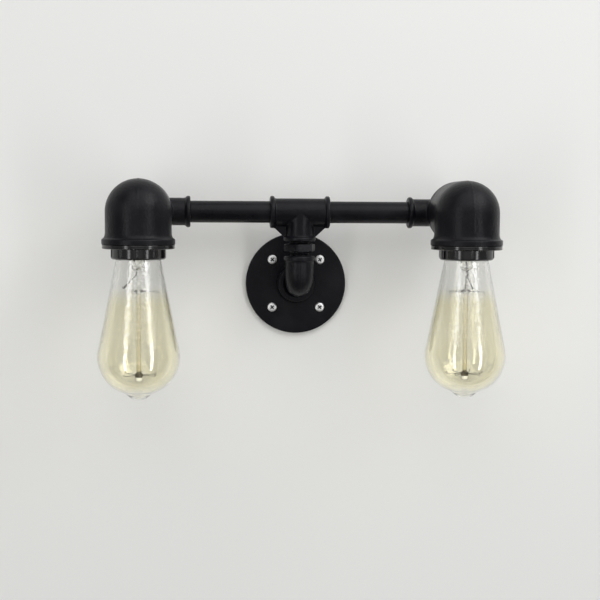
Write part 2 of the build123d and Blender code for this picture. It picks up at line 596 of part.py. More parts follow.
def filament():
    """One fine wire, up and down over the hooks from one lead wire to the other."""
    upper, lower = cage_angles()
    half = degrees(FILAMENT_LOOP_W / 2 / SUPPORT_REACH)
    gap = (SUPPORT_D + FILAMENT_D) / 2
    top, low = BUTTON_TOP + gap, BUTTON_LOW - gap
    end = BUTTON_TOP - LEAD_WIRE_D
    hooks = [(upper[0] + half, end)]
    for down, up in zip(lower, upper[1:]):
        hooks += [(down - half, low), (down + half, low), (up - half, top), (up + half, top)]
    hooks[-2:] = [(upper[-1] - half, end)]
    points = [on_cage(angle, height, SUPPORT_REACH) for angle, height in hooks]
    wire = Solid.make_sphere(FILAMENT_D / 2, Plane(origin=points[0]))
    for start, end in zip(points, points[1:]):
        wire = wire + rod(start, end, FILAMENT_D / 2) + Solid.make_sphere(FILAMENT_D / 2, Plane(origin=end))
    return wire


# ---- leads -------------------------------------------------------------------------------
def right_pipe_lead():
    """From the flange's hub up the street elbow and nipple, then along the pipe's axis."""
    x = LEAD_SPACING / 2
    start = -STANDOFF + ELBOW_MALE - LEAD_SHORT
    points = [(x, start, 0), (x, -STANDOFF, 0), (x, -STANDOFF, PIPE_Z),
              (ARM_FACE_X + THREAD_GRIP, -STANDOFF, PIPE_Z)]
    return lead_tube(points, LEAD_BEND_R, LEAD_D)


def head_lead():
    """From the pipe's end through the joining nipple, over the lampholder and into its cap."""
    top = BODY_TOP + HOLDER_CAP_H + HOLDER_HUB_H
    start = -ARM_REACH + THREAD_GRIP + LEAD_JOINT_GAP
    inside = BODY_TOP + HOLDER_CAP_H - HOLDER_CAP_WALL
    arch = top + HEAD_LEAD_ARCH_H
    points = [(start, LAMP_OUT, 0), (-HEAD_LEAD_TURN, LAMP_OUT, 0), (0, LAMP_REAR, HEAD_LEAD_LIFT_H),
              (0, HEAD_LEAD_ARCH_W, arch), (0, 0, arch), (0, 0, inside)]
    return lead_tube(points, HEAD_LEAD_BENDS, LEAD_D)


# ---- writing ------------------------------------------------------------------------------
def write(name, shape):
    export_step(shape, f"parts/{name}.step")


os.makedirs("parts", exist_ok=True)
write("wall_flange", wall_flange())
write("mounting_screws", mounting_screws())
write("street_elbow", street_elbow())
write("hex_nipple", hex_nipple())
write("tee", tee())
for name, piece in {"pipe": right_pipe(), "pipe_lead": right_pipe_lead()}.items():
    write(f"right_{name}", piece)
    write(f"left_{name}", mirror(piece, about=Plane.YZ))

HEAD_PIECES = {
    "lamp_elbow": lamp_elbow, "side_elbow": side_elbow, "joining_nipple": joining_nipple,
    "shade_ring": shade_ring, "holder_body": holder_body, "holder_cap": holder_cap,
    "screw_shell": screw_shell, "contact_insert": contact_insert, "centre_contact": centre_contact,
    "terminal_screws": terminal_screws, "head_lead": head_lead,
    "lamp_contact": lamp_contact, "lamp_insulator": cap_insulator, "lamp_cap": lamp_cap,
    "lamp_glass": lamp_glass, "lamp_stem": lamp_stem, "lamp_support_wires": support_wires,
    "lamp_lead_wires": lead_wires, "lamp_filament": filament,
}
for name, make in HEAD_PIECES.items():
    piece = Pos(LAMP_X, -STANDOFF - LAMP_OUT, PIPE_Z) * make()
    write(f"right_{name}", piece)
    write(f"left_{name}", mirror(piece, about=Plane.YZ))
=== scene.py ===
import bpy
from math import acos, atan2, cos, pi, radians, sin, tan
from mathutils import Matrix, Quaternion, Vector


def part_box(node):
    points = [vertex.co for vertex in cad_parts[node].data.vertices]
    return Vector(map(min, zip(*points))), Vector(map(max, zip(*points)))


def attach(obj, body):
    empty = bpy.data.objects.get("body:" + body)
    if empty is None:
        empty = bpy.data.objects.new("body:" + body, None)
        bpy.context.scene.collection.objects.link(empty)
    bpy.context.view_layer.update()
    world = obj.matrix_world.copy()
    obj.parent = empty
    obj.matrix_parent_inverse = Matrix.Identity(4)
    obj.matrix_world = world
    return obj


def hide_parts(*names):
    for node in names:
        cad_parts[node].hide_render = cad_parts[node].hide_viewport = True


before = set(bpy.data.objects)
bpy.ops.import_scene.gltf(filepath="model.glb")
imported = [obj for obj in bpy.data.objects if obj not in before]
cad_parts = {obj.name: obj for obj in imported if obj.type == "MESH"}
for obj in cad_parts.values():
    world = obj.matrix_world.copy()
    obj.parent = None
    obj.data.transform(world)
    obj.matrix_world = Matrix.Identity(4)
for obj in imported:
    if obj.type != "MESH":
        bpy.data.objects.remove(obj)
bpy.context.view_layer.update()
MM = 0.001

# ---- Wall flange ---------------------------------------------------------------------------
# The round flange that the light hangs from: malleable iron, cast in one with its hub, faced
# flat at the back, tapped for the pipe and drilled for four screws. It is powder coated black.
TURN_STEPS = 128
SMOOTH_UNDER = radians(32)
EDGE = 0.3
FLANGE_R = 42
FLANGE_T = 5
FLANGE_EASE = 1.2
HUB_R = 15.25
HUB_H = 14
HUB_CHAMFER = 1
HUB_SINK_R = 11.2
HUB_ROOT_W = 1.1
HUB_ROOT_FOOT = 0.88
HUB_ROOT_DEEP = 0.77
PORT_R = 8.85
SCREW_SQUARE = 40
HOLE_R = 2.5


def alone(piece):
    """Selects the piece and nothing else."""
    bpy.ops.object.select_all(action="DESELECT")
    piece.select_set(True)
    bpy.context.view_layer.objects.active = piece
    return piece


def outline(corners, curve=6):
    """Points of a half outline, given as (radius, height, rounding) in millimetres."""
    places = [Vector((r, 0, z)) for r, z, _ in corners]
    points = []
    for i, (_, _, ease) in enumerate(corners):
        here = places[i]
        if not ease:
            points.append(here)
            continue
        back = (places[i - 1] - here).normalized()
        on = (places[(i + 1) % len(places)] - here).normalized()
        half = back.angle(on) / 2
        centre = here + (back + on).normalized() * ease / sin(half)
        first = here + back * ease / tan(half) - centre
        last = here + on * ease / tan(half) - centre
        turn = first.rotation_difference(last)
        points += [centre + Quaternion().slerp(turn, k / curve) @ first for k in range(curve + 1)]
    return points


def opened():
    """Opens the active mesh to be edited, all of it selected."""
    bpy.ops.object.mode_set(mode="EDIT")
    bpy.ops.mesh.select_all(action="SELECT")


def closed():
    """Ends the editing of the active mesh."""
    bpy.ops.object.mode_set(mode="OBJECT")


def drawn(name, points, ring=True):
    """A line of edges through the points, drawn by extruding one vertex."""
    bpy.ops.object.select_all(action="DESELECT")
    bpy.ops.mesh.primitive_plane_add(size=MM)
    piece = bpy.context.object
    piece.name = piece.data.name = name
    bpy.ops.object.mode_set(mode="EDIT")
    bpy.ops.mesh.merge(type="CENTER")
    bpy.ops.transform.translate(value=points[0] * MM)
    here = points[0]
    for point in points[1:] + points[:1] * ring:
        step = (point - here) * MM
        bpy.ops.mesh.extrude_vertices_move(TRANSFORM_OT_translate={"value": step})
        here = point
    bpy.ops.mesh.select_all(action="SELECT")
    bpy.ops.mesh.remove_doubles(threshold=MM / 1000)
    closed()
    return piece


def tidied():
    """Merges the active piece's doubles, turns its faces outward and smooths its shading."""
    opened()
    bpy.ops.mesh.remove_doubles(threshold=MM / 500)
    bpy.ops.mesh.normals_make_consistent(inside=False)
    closed()
    bpy.ops.object.shade_smooth_by_angle(angle=SMOOTH_UNDER)


def turned(name, points, ring=True, steps=TURN_STEPS):
    """A piece turned about Z: its outline drawn and spun all the way round."""
    piece = drawn(name, points, ring)
    opened()
    bpy.ops.mesh.spin(steps=steps, angle=2 * pi, center=(0, 0, 0), axis=(0, 0, 1))
    closed()
    tidied()
    return piece


def settled(piece, turn=(0, 0, 0), place=(0, 0, 0)):
    """Turns the piece by degrees, moves it in millimetres and leaves its object at the origin."""
    alone(piece)
    piece.rotation_euler = [radians(a) for a in turn]
    piece.location = [a * MM for a in place]
    bpy.ops.object.transform_apply(location=True, rotation=True, scale=True)
    return piece


def applied(piece, kind, **settings):
    """Gives the piece a modifier with these settings and applies it."""
    alone(piece)
    made = piece.modifiers.new(kind.lower(), kind)
    for key, value in settings.items():
        setattr(made, key, value)
    bpy.ops.object.modifier_apply(modifier=made.name)
    return piece


def trimmed(piece, tool, operation="DIFFERENCE"):
    """Cuts the tool out of the piece, or joins it on, and removes the tool."""
    applied(piece, "BOOLEAN", operation=operation, solver="EXACT", object=tool)
    bpy.data.objects.remove(tool)
    return piece


def plug(radius, low, high, sides=64):
    """A plain cylinder about Z between two heights, to cut a hole with."""
    bpy.ops.object.select_all(action="DESELECT")
    bpy.ops.mesh.primitive_cylinder_add(
        vertices=sides, radius=radius * MM, depth=(high - low) * MM,
        location=(0, 0, (low + high) / 2 * MM))
    return settled(bpy.context.object, place=bpy.context.object.location / MM)


def bored(piece, radius, low, high, turn=(0, 0, 0), place=(0, 0, 0), sides=64):
    """Drills a round hole between two heights, the drill turned and then moved."""
    return trimmed(piece, settled(plug(radius, low, high, sides), turn, place))


def given(piece, body, slot, material, *nodes):
    """Puts the piece on its body, in its finish, in place of these solids. The slot is not used.
    """
    piece.data.materials.clear()
    piece.data.materials.append(material)
    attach(piece, body)
    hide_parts(*nodes)


def put(socket, value):
    """Sets a socket, or links it to the value where that is another socket."""
    if isinstance(value, bpy.types.NodeSocket):
        socket.id_data.links.new(value, socket)
    else:
        socket.default_value = value


def fed(sockets, **values):
    """Sets or links several sockets, named with _ for a space."""
    for key, value in values.items():
        put(sockets[key.replace("_", " ")], value)


def node(tree, kind, **inputs):
    """A new shader node with these values or links on its inputs."""
    made = tree.nodes.new("ShaderNode" + kind)
    fed(made.inputs, **inputs)
    return made


def finish(name, **inputs):
    """A new material, with these values on its Principled shader."""
    made = bpy.data.materials.new(name)
    made.use_nodes = True
    shader = made.node_tree.nodes["Principled BSDF"]
    fed(shader.inputs, **inputs)
    return made, made.node_tree, shader


def effect(name, inputs, outputs):
    """A new shader node group with named sockets, and its two end nodes."""
    made = bpy.data.node_groups.new(name, "ShaderNodeTree")
    for label, kind, value in inputs:
        socket = made.interface.new_socket(
            name=label, in_out="INPUT", socket_type="NodeSocket" + kind)
        socket.default_value = value
    for label, kind in outputs:
        made.interface.new_socket(name=label, in_out="OUTPUT", socket_type="NodeSocket" + kind)
    return made, made.nodes.new("NodeGroupInput"), made.nodes.new("NodeGroupOutput")


def spot(tree):
    """Where on the piece a pattern is: its object coordinates."""
    return node(tree, "TexCoord").outputs["Object"]


def noise(tree, scale, detail, place=None, **values):
    """A noise pattern on the piece."""
    made = node(tree, "TexNoise", Vector=place or spot(tree), Scale=scale, Detail=detail, **values)
    return made.outputs["Fac"]


def ranged(tree, value, low, high, least=0.0, most=1.0):
    """A value carried from one range over to another, and held inside it."""
    made = node(tree, "MapRange", Value=value, From_Min=low, From_Max=high,
                To_Min=least, To_Max=most)
    return made.outputs["Result"]


def mixed(tree, share, first, second):
    """A colour between two others."""
    made = node(tree, "Mix", Factor=share)
    made.data_type = "RGBA"
    fed(made.inputs, A=first, B=second)
    return made.outputs["Result"]


def relief(tree, height, strength, depth):
    """A normal bent by a pattern, this many millimetres deep."""
    made = node(tree, "Bump", Height=height, Strength=strength, Distance=depth * MM)
    return made.outputs["Normal"]


def coat_grain():
    """Shared by all that is coated: lumps of the casting under the fine peel of the powder."""
    made, start, end = effect(
        "coat grain",
        [("Colour", "Color", (0.0042, 0.0042, 0.0062, 1)),
         ("Dust", "Color", (0.0098, 0.0098, 0.0125, 1)),
         ("Lump Scale", "Float", 160), ("Peel Scale", "Float", 620), ("Peel Share", "Float", 0.5),
         ("Smoothest", "Float", 0.28), ("Roughest", "Float", 0.42)],
        [("Colour", "Color"), ("Roughness", "Float"), ("Height", "Float")])
    come = start.outputs
    lumps = noise(made, come["Lump Scale"], 3.0)
    peel = noise(made, come["Peel Scale"], 2.0)
    cloud = noise(made, 45.0, 5.0)
    both = node(made, "Mix", Factor=come["Peel Share"], A=lumps, B=peel)
    fed(end.inputs,
        Colour=mixed(made, ranged(made, cloud, 0.4, 0.8), come["Colour"], come["Dust"]),
        Roughness=ranged(made, cloud, 0.35, 0.7, come["Smoothest"], come["Roughest"]),
        Height=both.outputs["Result"])
    return made


COAT_GRAIN = coat_grain()


def coated(name, depth, **values):
    """A powder-coated finish, its relief this many millimetres deep."""
    made, tree, shader = finish(name, Specular_IOR_Level=0.17)
    grain = tree.nodes.new("ShaderNodeGroup")
    grain.node_tree = COAT_GRAIN
    fed(grain.inputs, **values)
    fed(shader.inputs, Base_Color=grain.outputs["Colour"], Roughness=grain.outputs["Roughness"],
        Normal=relief(tree, grain.outputs["Height"], 1.0, depth))
    return made


BLACK_CASTING = coated("black casting", 0.42)

flange = turned("flange_casting", outline([
    (PORT_R, 0, 0), (FLANGE_R, 0, EDGE), (FLANGE_R, FLANGE_T, FLANGE_EASE),
    (HUB_R + HUB_ROOT_W, FLANGE_T, 0.25), (HUB_R + HUB_ROOT_FOOT, FLANGE_T - HUB_ROOT_DEEP, 0.2),
    (HUB_R, FLANGE_T - HUB_ROOT_DEEP, 0.2), (HUB_R, HUB_H - HUB_CHAMFER, EDGE),
    (HUB_R - HUB_CHAMFER, HUB_H, EDGE), (HUB_SINK_R, HUB_H, EDGE),
    (PORT_R, HUB_H - HUB_SINK_R + PORT_R, 0)]))
for x in (-SCREW_SQUARE / 2, SCREW_SQUARE / 2):
    for y in (-SCREW_SQUARE / 2, SCREW_SQUARE / 2):
        bored(flange, HOLE_R, -1, FLANGE_T + 1, place=(x, y, 0), sides=48)
settled(flange, turn=(90, 0, 0))
tidied()
given(flange, "bracket", "black_casting", BLACK_CASTING, "wall_flange")

# ---- Mounting screws -----------------------------------------------------------------------
# Four pan-head wood screws with a cross recess, cold headed from steel wire, the thread rolled
# on and the whole plated with bright zinc. They hold the flange to the wall.
HEAD_R = 3.95
HEAD_TOP = FLANGE_T + 2.8
HEAD_DOME = 1.5
NECK_R = 1.8
THREAD_R = 2
THREAD_CORE_R = 1.35
THREAD_PITCH = 1.8
THREAD_TOP = -0.8
THREAD_DEEP_END = 26
THREAD_POINT = 5
RIDGE_SHARE = 0.42
CROSS_ARM = 2.35
CROSS_WIDE = 1.15
CROSS_DEEP = 1.9
CROSS_NARROWS = (0.6, 0.8, 1)
# Depths below the screw head's face where the painted shade in the cross recess begins and where
# it is full.
RECESS_SHADE_FROM = 0.12
RECESS_SHADE_FULL = 0.35
SCREW_TURNS = (41, 37, 45, 35)


def thread(name, root, crest, pitch, low, high, steps=40):
    """A closed helical ridge about Z, wound up from one height to another."""
    half = pitch * RIDGE_SHARE
    ridge = drawn(name, [
        Vector((root, 0, low - half)), Vector((crest, 0, low)), Vector((root, 0, low + half))])
    applied(ridge, "SCREW", steps=steps, render_steps=steps, screw_offset=pitch * MM,
            iterations=int((high - low) / pitch), use_merge_vertices=True,
            merge_threshold=MM / 1000)
    bpy.ops.object.mode_set(mode="EDIT")
    bpy.ops.mesh.select_mode(type="EDGE")
    bpy.ops.mesh.select_all(action="DESELECT")
    bpy.ops.mesh.select_non_manifold()
    bpy.ops.mesh.fill()
    bpy.ops.mesh.select_mode(type="VERT")
    closed()
    tidied()
    return ridge


def joined(name, *pieces):
    """Several meshes as one."""
    alone(pieces[0])
    for piece in pieces[1:]:
        piece.select_set(True)
    bpy.ops.object.join()
    pieces[0].name = pieces[0].data.name = name
    return pieces[0]


def block(wide, deep, high, place):
    """A plain box of these millimetres, centred on a place."""
    bpy.ops.object.select_all(action="DESELECT")
    bpy.ops.mesh.primitive_cube_add(size=MM, location=(0, 0, 0))
    bpy.context.object.scale = (wide, deep, high)
    return settled(bpy.context.object, place=place)


def recess_arm(turn):
    """One bar of the cross recess, drawn in towards its floor."""
    bar = block(2 * CROSS_ARM, CROSS_WIDE, 2 * CROSS_DEEP, (0, 0, HEAD_TOP))
    bpy.ops.object.mode_set(mode="EDIT")
    bpy.ops.mesh.select_mode(type="VERT")
    bpy.ops.mesh.select_all(action="DESELECT")
    closed()
    for vertex in bar.data.vertices:
        vertex.select = vertex.co.z < HEAD_TOP * MM
    bpy.ops.object.mode_set(mode="EDIT")
    bpy.ops.transform.resize(value=CROSS_NARROWS, center_override=(0, 0, 0))
    closed()
    return settled(bar, turn=(0, 0, turn))


def ramp(tree, share, first, last, *stops):
    """A colour from the first to the last, with stops of (place, colour) on the way."""
    made = node(tree, "ValToRGB", Fac=share)
    band = made.color_ramp.elements
    band[0].color, band[1].color = first + (1,), last + (1,)
    for at, colour in stops:
        band.new(at).color = colour + (1,)
    return made.outputs["Color"]


def worked(tree, kind, operation, *values, result=0):
    """What a Math or VectorMath node makes of these values."""
    made = node(tree, kind)
    made.operation = operation
    for socket, value in zip(made.inputs, values):
        put(socket, value)
    return made.outputs[result]


def zinc_plate():
    """Bright zinc with a faint uneven bloom, and painted shade, near black, down in the cross
    recess.
    """
    made, tree, shader = finish("zinc plate", Metallic=1.0)
    place = spot(tree)
    corner = SCREW_SQUARE / 2 * MM
    folded = worked(tree, "VectorMath", "ABSOLUTE", place)
    across = worked(tree, "VectorMath", "SUBTRACT", folded, (corner, 0, corner))
    flat = worked(tree, "VectorMath", "MULTIPLY", across, (1, 0, 1))
    reach = worked(tree, "VectorMath", "LENGTH", flat, result="Value")
    # Painted shade: inside the cross and below the head's face the zinc is coloured near black,
    # standing in for the shade down in the recess.
    inside = ranged(tree, reach, (CROSS_ARM + 0.1) * MM, (CROSS_ARM + 0.3) * MM, 1.0, 0.0)
    depth = node(tree, "SeparateXYZ", Vector=place).outputs["Y"]
    below = ranged(tree, depth, (RECESS_SHADE_FROM - HEAD_TOP) * MM, (RECESS_SHADE_FULL - HEAD_TOP) * MM)
    recess_shade = worked(tree, "Math", "MULTIPLY", inside, below)
    bloom = noise(tree, 700.0, 4.0, place)
    clean = ramp(tree, bloom, (0.86, 0.87, 0.88), (0.97, 0.97, 0.96))
    fed(shader.inputs, Base_Color=mixed(tree, recess_shade, clean, (0.02, 0.02, 0.022, 1)),
        Roughness=ranged(tree, bloom, 0.0, 1.0, 0.3, 0.48), Normal=relief(tree, bloom, 0.5, 0.02))
    return made


screws = []
for i, turn in enumerate(SCREW_TURNS):
    shank = turned(f"screw_{i}", outline([
        (0, -THREAD_DEEP_END, 0), (THREAD_CORE_R, THREAD_POINT - THREAD_DEEP_END, 0),
        (THREAD_CORE_R, -0.4, 0), (NECK_R, 0, 0), (NECK_R, FLANGE_T, 0), (HEAD_R, FLANGE_T, EDGE),
        (HEAD_R, HEAD_TOP, HEAD_DOME), (0, HEAD_TOP, 0)]), steps=64)
    for arm in (turn, turn + 90):
        trimmed(shank, recess_arm(arm))
    ridge = thread("ridge", THREAD_CORE_R - 0.1, THREAD_R, THREAD_PITCH,
                   THREAD_POINT - THREAD_DEEP_END, THREAD_TOP)
    shank = joined(f"screw_{i}", shank, ridge)
    tidied()
    place = ((i % 2 - 0.5) * SCREW_SQUARE, (i // 2 - 0.5) * SCREW_SQUARE, 0)
    screws.append(settled(shank, place=place))
screws = settled(joined("plated_screws", *screws), turn=(90, 0, 0))
given(screws, "bracket", "zinc_screws", zinc_plate(), "mounting_screws")

# ---- Street elbow --------------------------------------------------------------------------
# A cast elbow with one male and one female leg: it screws into the flange's hub and turns the
# pipework up along the wall. Its body narrows round the bend, and the mould left a line on it.
BEND_R = 12.5
ELBOW_R = 11.5
ELBOW_BACK_R = 8.9
ELBOW_BEAD_R = 12.7
ELBOW_BEAD_W = 4.3
ELBOW_RISE = 24.6
ELBOW_BACK = 17
BEAD_ROOT = 0.9
BEAD_EASE = 1.2
MALE_R = 8.8
MALE_END = 36
MALE_EASE = 0.8
BORE_R = 6.3
PORT_DEEP = 10.5
OVERLAP = 0.01
SEAM_W = 1.2
SEAM_H = 0.35
BACKWARD = (-90, 0, 0)
pipe_low, pipe_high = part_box("right_pipe")
STANDOFF = -(pipe_low.y + pipe_high.y) / 2 / MM
PIPE_Z = (pipe_low.z + pipe_high.z) / 2 / MM


def knee(top_r, back_r, steps=32):
    """A quarter bend from straight up to straight back, narrowing from one radius to another."""
    bpy.ops.object.select_all(action="DESELECT")
    bpy.ops.mesh.primitive_circle_add(
        vertices=64, radius=top_r * MM, fill_type="NGON", location=(0, 0, 0))
    made = settled(bpy.context.object, place=(0, 0, BEND_R))
    middle = Vector((0, BEND_R, BEND_R)) * MM
    opened()
    bpy.ops.mesh.spin(steps=steps, angle=-pi / 2, center=middle, axis=(1, 0, 0))
    closed()
    for vertex in made.data.vertices:
        out = middle - vertex.co
        turn = atan2(out.z, out.y)
        line = middle - Vector((0, cos(turn), sin(turn))) * BEND_R * MM
        share = max(turn / (pi / 2), 0) ** 3
        vertex.co = line + (vertex.co - line) * (1 + (back_r / top_r - 1) * share)
    tidied()
    return made


def cast(piece, grain, passes):
    """Melts the piece's overlapping shapes into one skin and softens it, as in a mould."""
    applied(piece, "REMESH", mode="VOXEL", voxel_size=grain * MM)
    return applied(piece, "SMOOTH", iterations=passes)


def kept(piece, normal, place=(0, 0, 0)):
    """Cuts the piece by a plane, clears what lies on the normal's side and closes the cut."""
    alone(piece)
    opened()
    bpy.ops.mesh.bisect(
        plane_co=[a * MM for a in place], plane_no=normal, clear_outer=True, use_fill=True)
    closed()
    return piece


def parting_line(*forms):
    """A thin upright slice of each of these forms, which are a little proud of the casting."""
    slices = []
    for form in forms:
        kept(form, (1, 0, 0), (SEAM_W / 2, 0, 0))
        slices.append(kept(form, (-1, 0, 0), (-SEAM_W / 2, 0, 0)))
    return slices


def leg(body, bead, bead_wide, length, start=0):
    """A fitting's leg about Z with a rounded bead round its mouth."""
    step = length - bead_wide
    return turned("leg", outline([
        (0, start, 0), (body, start, 0), (body, step, BEAD_ROOT), (bead, step, BEAD_EASE),
        (bead, length, BEAD_EASE), (0, length, 0)]))


def rod(name, radius, low, high, ease):
    """A round bar about Z, its far end eased."""
    return turned(name, outline([
        (0, low, 0), (radius, low, 0), (radius, high, ease), (0, high, 0)]))


male = settled(rod("male", MALE_R, ELBOW_BACK - 1, MALE_END, MALE_EASE), turn=BACKWARD)
upright = leg(ELBOW_R, ELBOW_BEAD_R, ELBOW_BEAD_W, ELBOW_RISE, BEND_R - 1)
proud = plug(ELBOW_R + SEAM_H, BEND_R - 1, ELBOW_RISE - ELBOW_BEAD_W)
seam = parting_line(knee(ELBOW_R + SEAM_H, ELBOW_BACK_R + SEAM_H), proud)
back = settled(rod("back", ELBOW_BACK_R, BEND_R - 1, ELBOW_BACK, EDGE), turn=BACKWARD)
elbow = joined("street_elbow_casting", upright, knee(ELBOW_R, ELBOW_BACK_R), back, male, *seam)
cast(elbow, grain=0.4, passes=7)
bored(elbow, PORT_R, ELBOW_RISE - PORT_DEEP, ELBOW_RISE + 1)
trimmed(elbow, knee(BORE_R, BORE_R))
bored(elbow, BORE_R, BEND_R - OVERLAP, ELBOW_RISE)
bored(elbow, BORE_R, BEND_R - OVERLAP, MALE_END + 1, BACKWARD)
tidied()
settled(elbow, place=(0, -STANDOFF, 0))
given(elbow, "bracket", "black_casting", BLACK_CASTING, "street_elbow")

# ---- Hex nipple ----------------------------------------------------------------------------
# Bar steel, turned and threaded at both ends, its middle left hexagonal for the spanner. A few
# turns of thread show above and below the hexagon, all of it coated with the rest.
HEX_ACROSS = 23
HEX_T = 5.7
HEX_TURN = -16.7
HEX_LOW = 28.3
HEX_TOP = HEX_LOW + HEX_T
HEX_CROWN = 1.2
NIPPLE_LOW = 14.6
NIPPLE_HIGH = 46.4
PIPE_PITCH = 1.34
NIPPLE_CORE_R = MALE_R - 0.86

corner = HEX_ACROSS / 2 / cos(pi / 6)
bpy.ops.object.select_all(action="DESELECT")
bpy.ops.mesh.primitive_cylinder_add(
    vertices=6, radius=corner * MM, depth=HEX_T * MM, location=(0, 0, 0))
hexagon = settled(bpy.context.object, turn=(0, 0, HEX_TURN), place=(0, 0, HEX_LOW + HEX_T / 2))
crown = turned("crown", outline([
    (0, HEX_LOW, 0), (corner - HEX_CROWN, HEX_LOW, 0), (corner, HEX_LOW + HEX_CROWN / 2, 0),
    (corner, HEX_TOP - HEX_CROWN / 2, 0), (corner - HEX_CROWN, HEX_TOP, 0), (0, HEX_TOP, 0)]))
trimmed(hexagon, crown, "INTERSECT")
bored(hexagon, BORE_R, HEX_LOW - 1, HEX_TOP + 1)
applied(hexagon, "BEVEL", width=0.35 * MM, segments=3, angle_limit=radians(40))
tidied()
core = turned("core", outline([
    (BORE_R, NIPPLE_LOW, 0), (NIPPLE_CORE_R, NIPPLE_LOW, 0), (NIPPLE_CORE_R, NIPPLE_HIGH, 0),
    (BORE_R, NIPPLE_HIGH, 0)]))
ends = [thread("end", NIPPLE_CORE_R - 0.1, MALE_R, PIPE_PITCH, low, high, 96)
        for low, high in ((NIPPLE_LOW + 0.7, HEX_LOW), (HEX_TOP - 0.2, NIPPLE_HIGH - 0.5))]
nipple = settled(joined("nipple_turning", hexagon, core, *ends), place=(0, -STANDOFF, 0))
BLACK_STEEL = coated("black steel", 0.15, Lump_Scale=300.0, Smoothest=0.26, Roughest=0.38)
given(nipple, "bracket", "black_steel", BLACK_STEEL, "hex_nipple")

# ---- Tee -----------------------------------------------------------------------------------
# A cast tee that joins the upright to the cross pipes. Each of its three mouths has a bead, and
# two thin webs stiffen the corners between the branch and the run.
TEE_HALF = 24.2
TEE_BRANCH = 23.6
TEE_R = 11.1
TEE_BEAD_R = 13.05
TEE_BEAD_W = 3.6
TEE_BORE_R = 7
WEB_T = 2.6
WEB_SINK = 0.5
WEB_INSET = 0.6
DOWNWARD = (180, 0, 0)

run = [settled(leg(TEE_R, TEE_BEAD_R, TEE_BEAD_W, TEE_HALF, -1), turn=(0, side, 0))
       for side in (-90, 90)]
branch = settled(leg(TEE_R, TEE_BEAD_R, TEE_BEAD_W, TEE_BRANCH, -1), turn=DOWNWARD)
web_far = TEE_HALF - TEE_BEAD_W + WEB_SINK
web_foot = TEE_BRANCH - TEE_BEAD_W + WEB_SINK
web_low = WEB_INSET - TEE_BEAD_R
webs = drawn("webs", [Vector((x, -WEB_T / 2, z)) for x, z in (
    (-web_far, 1 - TEE_R), (web_far, 1 - TEE_R), (web_far, web_low), (-web_low, -web_foot),
    (web_low, -web_foot), (-web_far, web_low))])
opened()
bpy.ops.mesh.edge_face_add()
bpy.ops.mesh.extrude_region_move(TRANSFORM_OT_translate={"value": (0, WEB_T * MM, 0)})
closed()
tidied()
tee = cast(joined("tee_casting", *run, branch, webs), grain=0.42, passes=8)
bored(tee, TEE_BORE_R, -TEE_HALF, TEE_HALF, (0, 90, 0))
bored(tee, TEE_BORE_R, -TEE_BRANCH, 0)
for side in (-90, 90):
    bored(tee, PORT_R, TEE_HALF - PORT_DEEP, TEE_HALF + 1, (0, side, 0))
bored(tee, PORT_R, TEE_BRANCH - PORT_DEEP, TEE_BRANCH + 1, DOWNWARD)
tidied()
settled(tee, place=(0, -STANDOFF, PIPE_Z))
given(tee, "bracket", "black_casting", BLACK_CASTING, "tee")

# ---- Cross pipes ---------------------------------------------------------------------------
# Two lengths of three-eighths steel pipe, threaded at both ends and coated. They carry the
# heads, and the leads run inside them.
PIPE_R = 8.8
PIPE_EASE = 0.8


def pair(piece):
    """The piece for the right-hand side and its mirror image for the left."""
    alone(piece)
    bpy.ops.object.duplicate()
    other = bpy.context.object
    other.scale = (-1, 1, 1)
    bpy.ops.object.transform_apply(location=True, rotation=True, scale=True)
    tidied()
    other.name = other.data.name = piece.name.replace("right", "left")
    return {"right": piece, "left": other}


low, high = pipe_low.x / MM, pipe_high.x / MM
pipe = turned("right_pipe_tube", outline([
    (BORE_R, low, 0), (PIPE_R, low, PIPE_EASE), (PIPE_R, high, PIPE_EASE), (BORE_R, high, 0)]))
settled(pipe, turn=(0, 90, 0), place=(0, -STANDOFF, PIPE_Z))
for side, piece in pair(pipe).items():
    given(piece, "bracket", "black_steel", BLACK_STEEL, side + "_pipe")

# ---- Side elbows ---------------------------------------------------------------------------
# Reducing elbows, cast: a narrow beaded arm screws on to the pipe, and a wide rim looks into
# the room. The whole head turns on the arm's thread.
lamp_low, lamp_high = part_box("right_lamp_glass")
LAMP_X = (lamp_low.x + lamp_high.x) / 2 / MM
LAMP_Y = (lamp_low.y + lamp_high.y) / 2 / MM
LAMP_OUT = -STANDOFF - LAMP_Y
BALL_R = 25.6
CAST_WALL = 3.6
ARM_REACH = 39.9
ARM_R = 11.1
ARM_BEAD_R = 12.7
ARM_BEAD_W = 3.6
ARM_TURN = (0, -90, 0)
ARM_BORE_R = 7
LAMP_REAR = 28.6
SIDE_STRAIGHT = 2.8
JOIN_R = 21.05
JOIN_GRIP = 6.55
ARC_STEPS = 48
HOLLOW_FIRST = 14


def side_arc(radius, first=0):
    """Points of the quarter circle from the elbow's side to its back."""
    centre = LAMP_REAR + SIDE_STRAIGHT
    turns = [k * pi / 2 / ARC_STEPS for k in range(first, ARC_STEPS + 1)]
    return [Vector((radius * cos(a), 0, centre + radius * sin(a))) for a in turns]


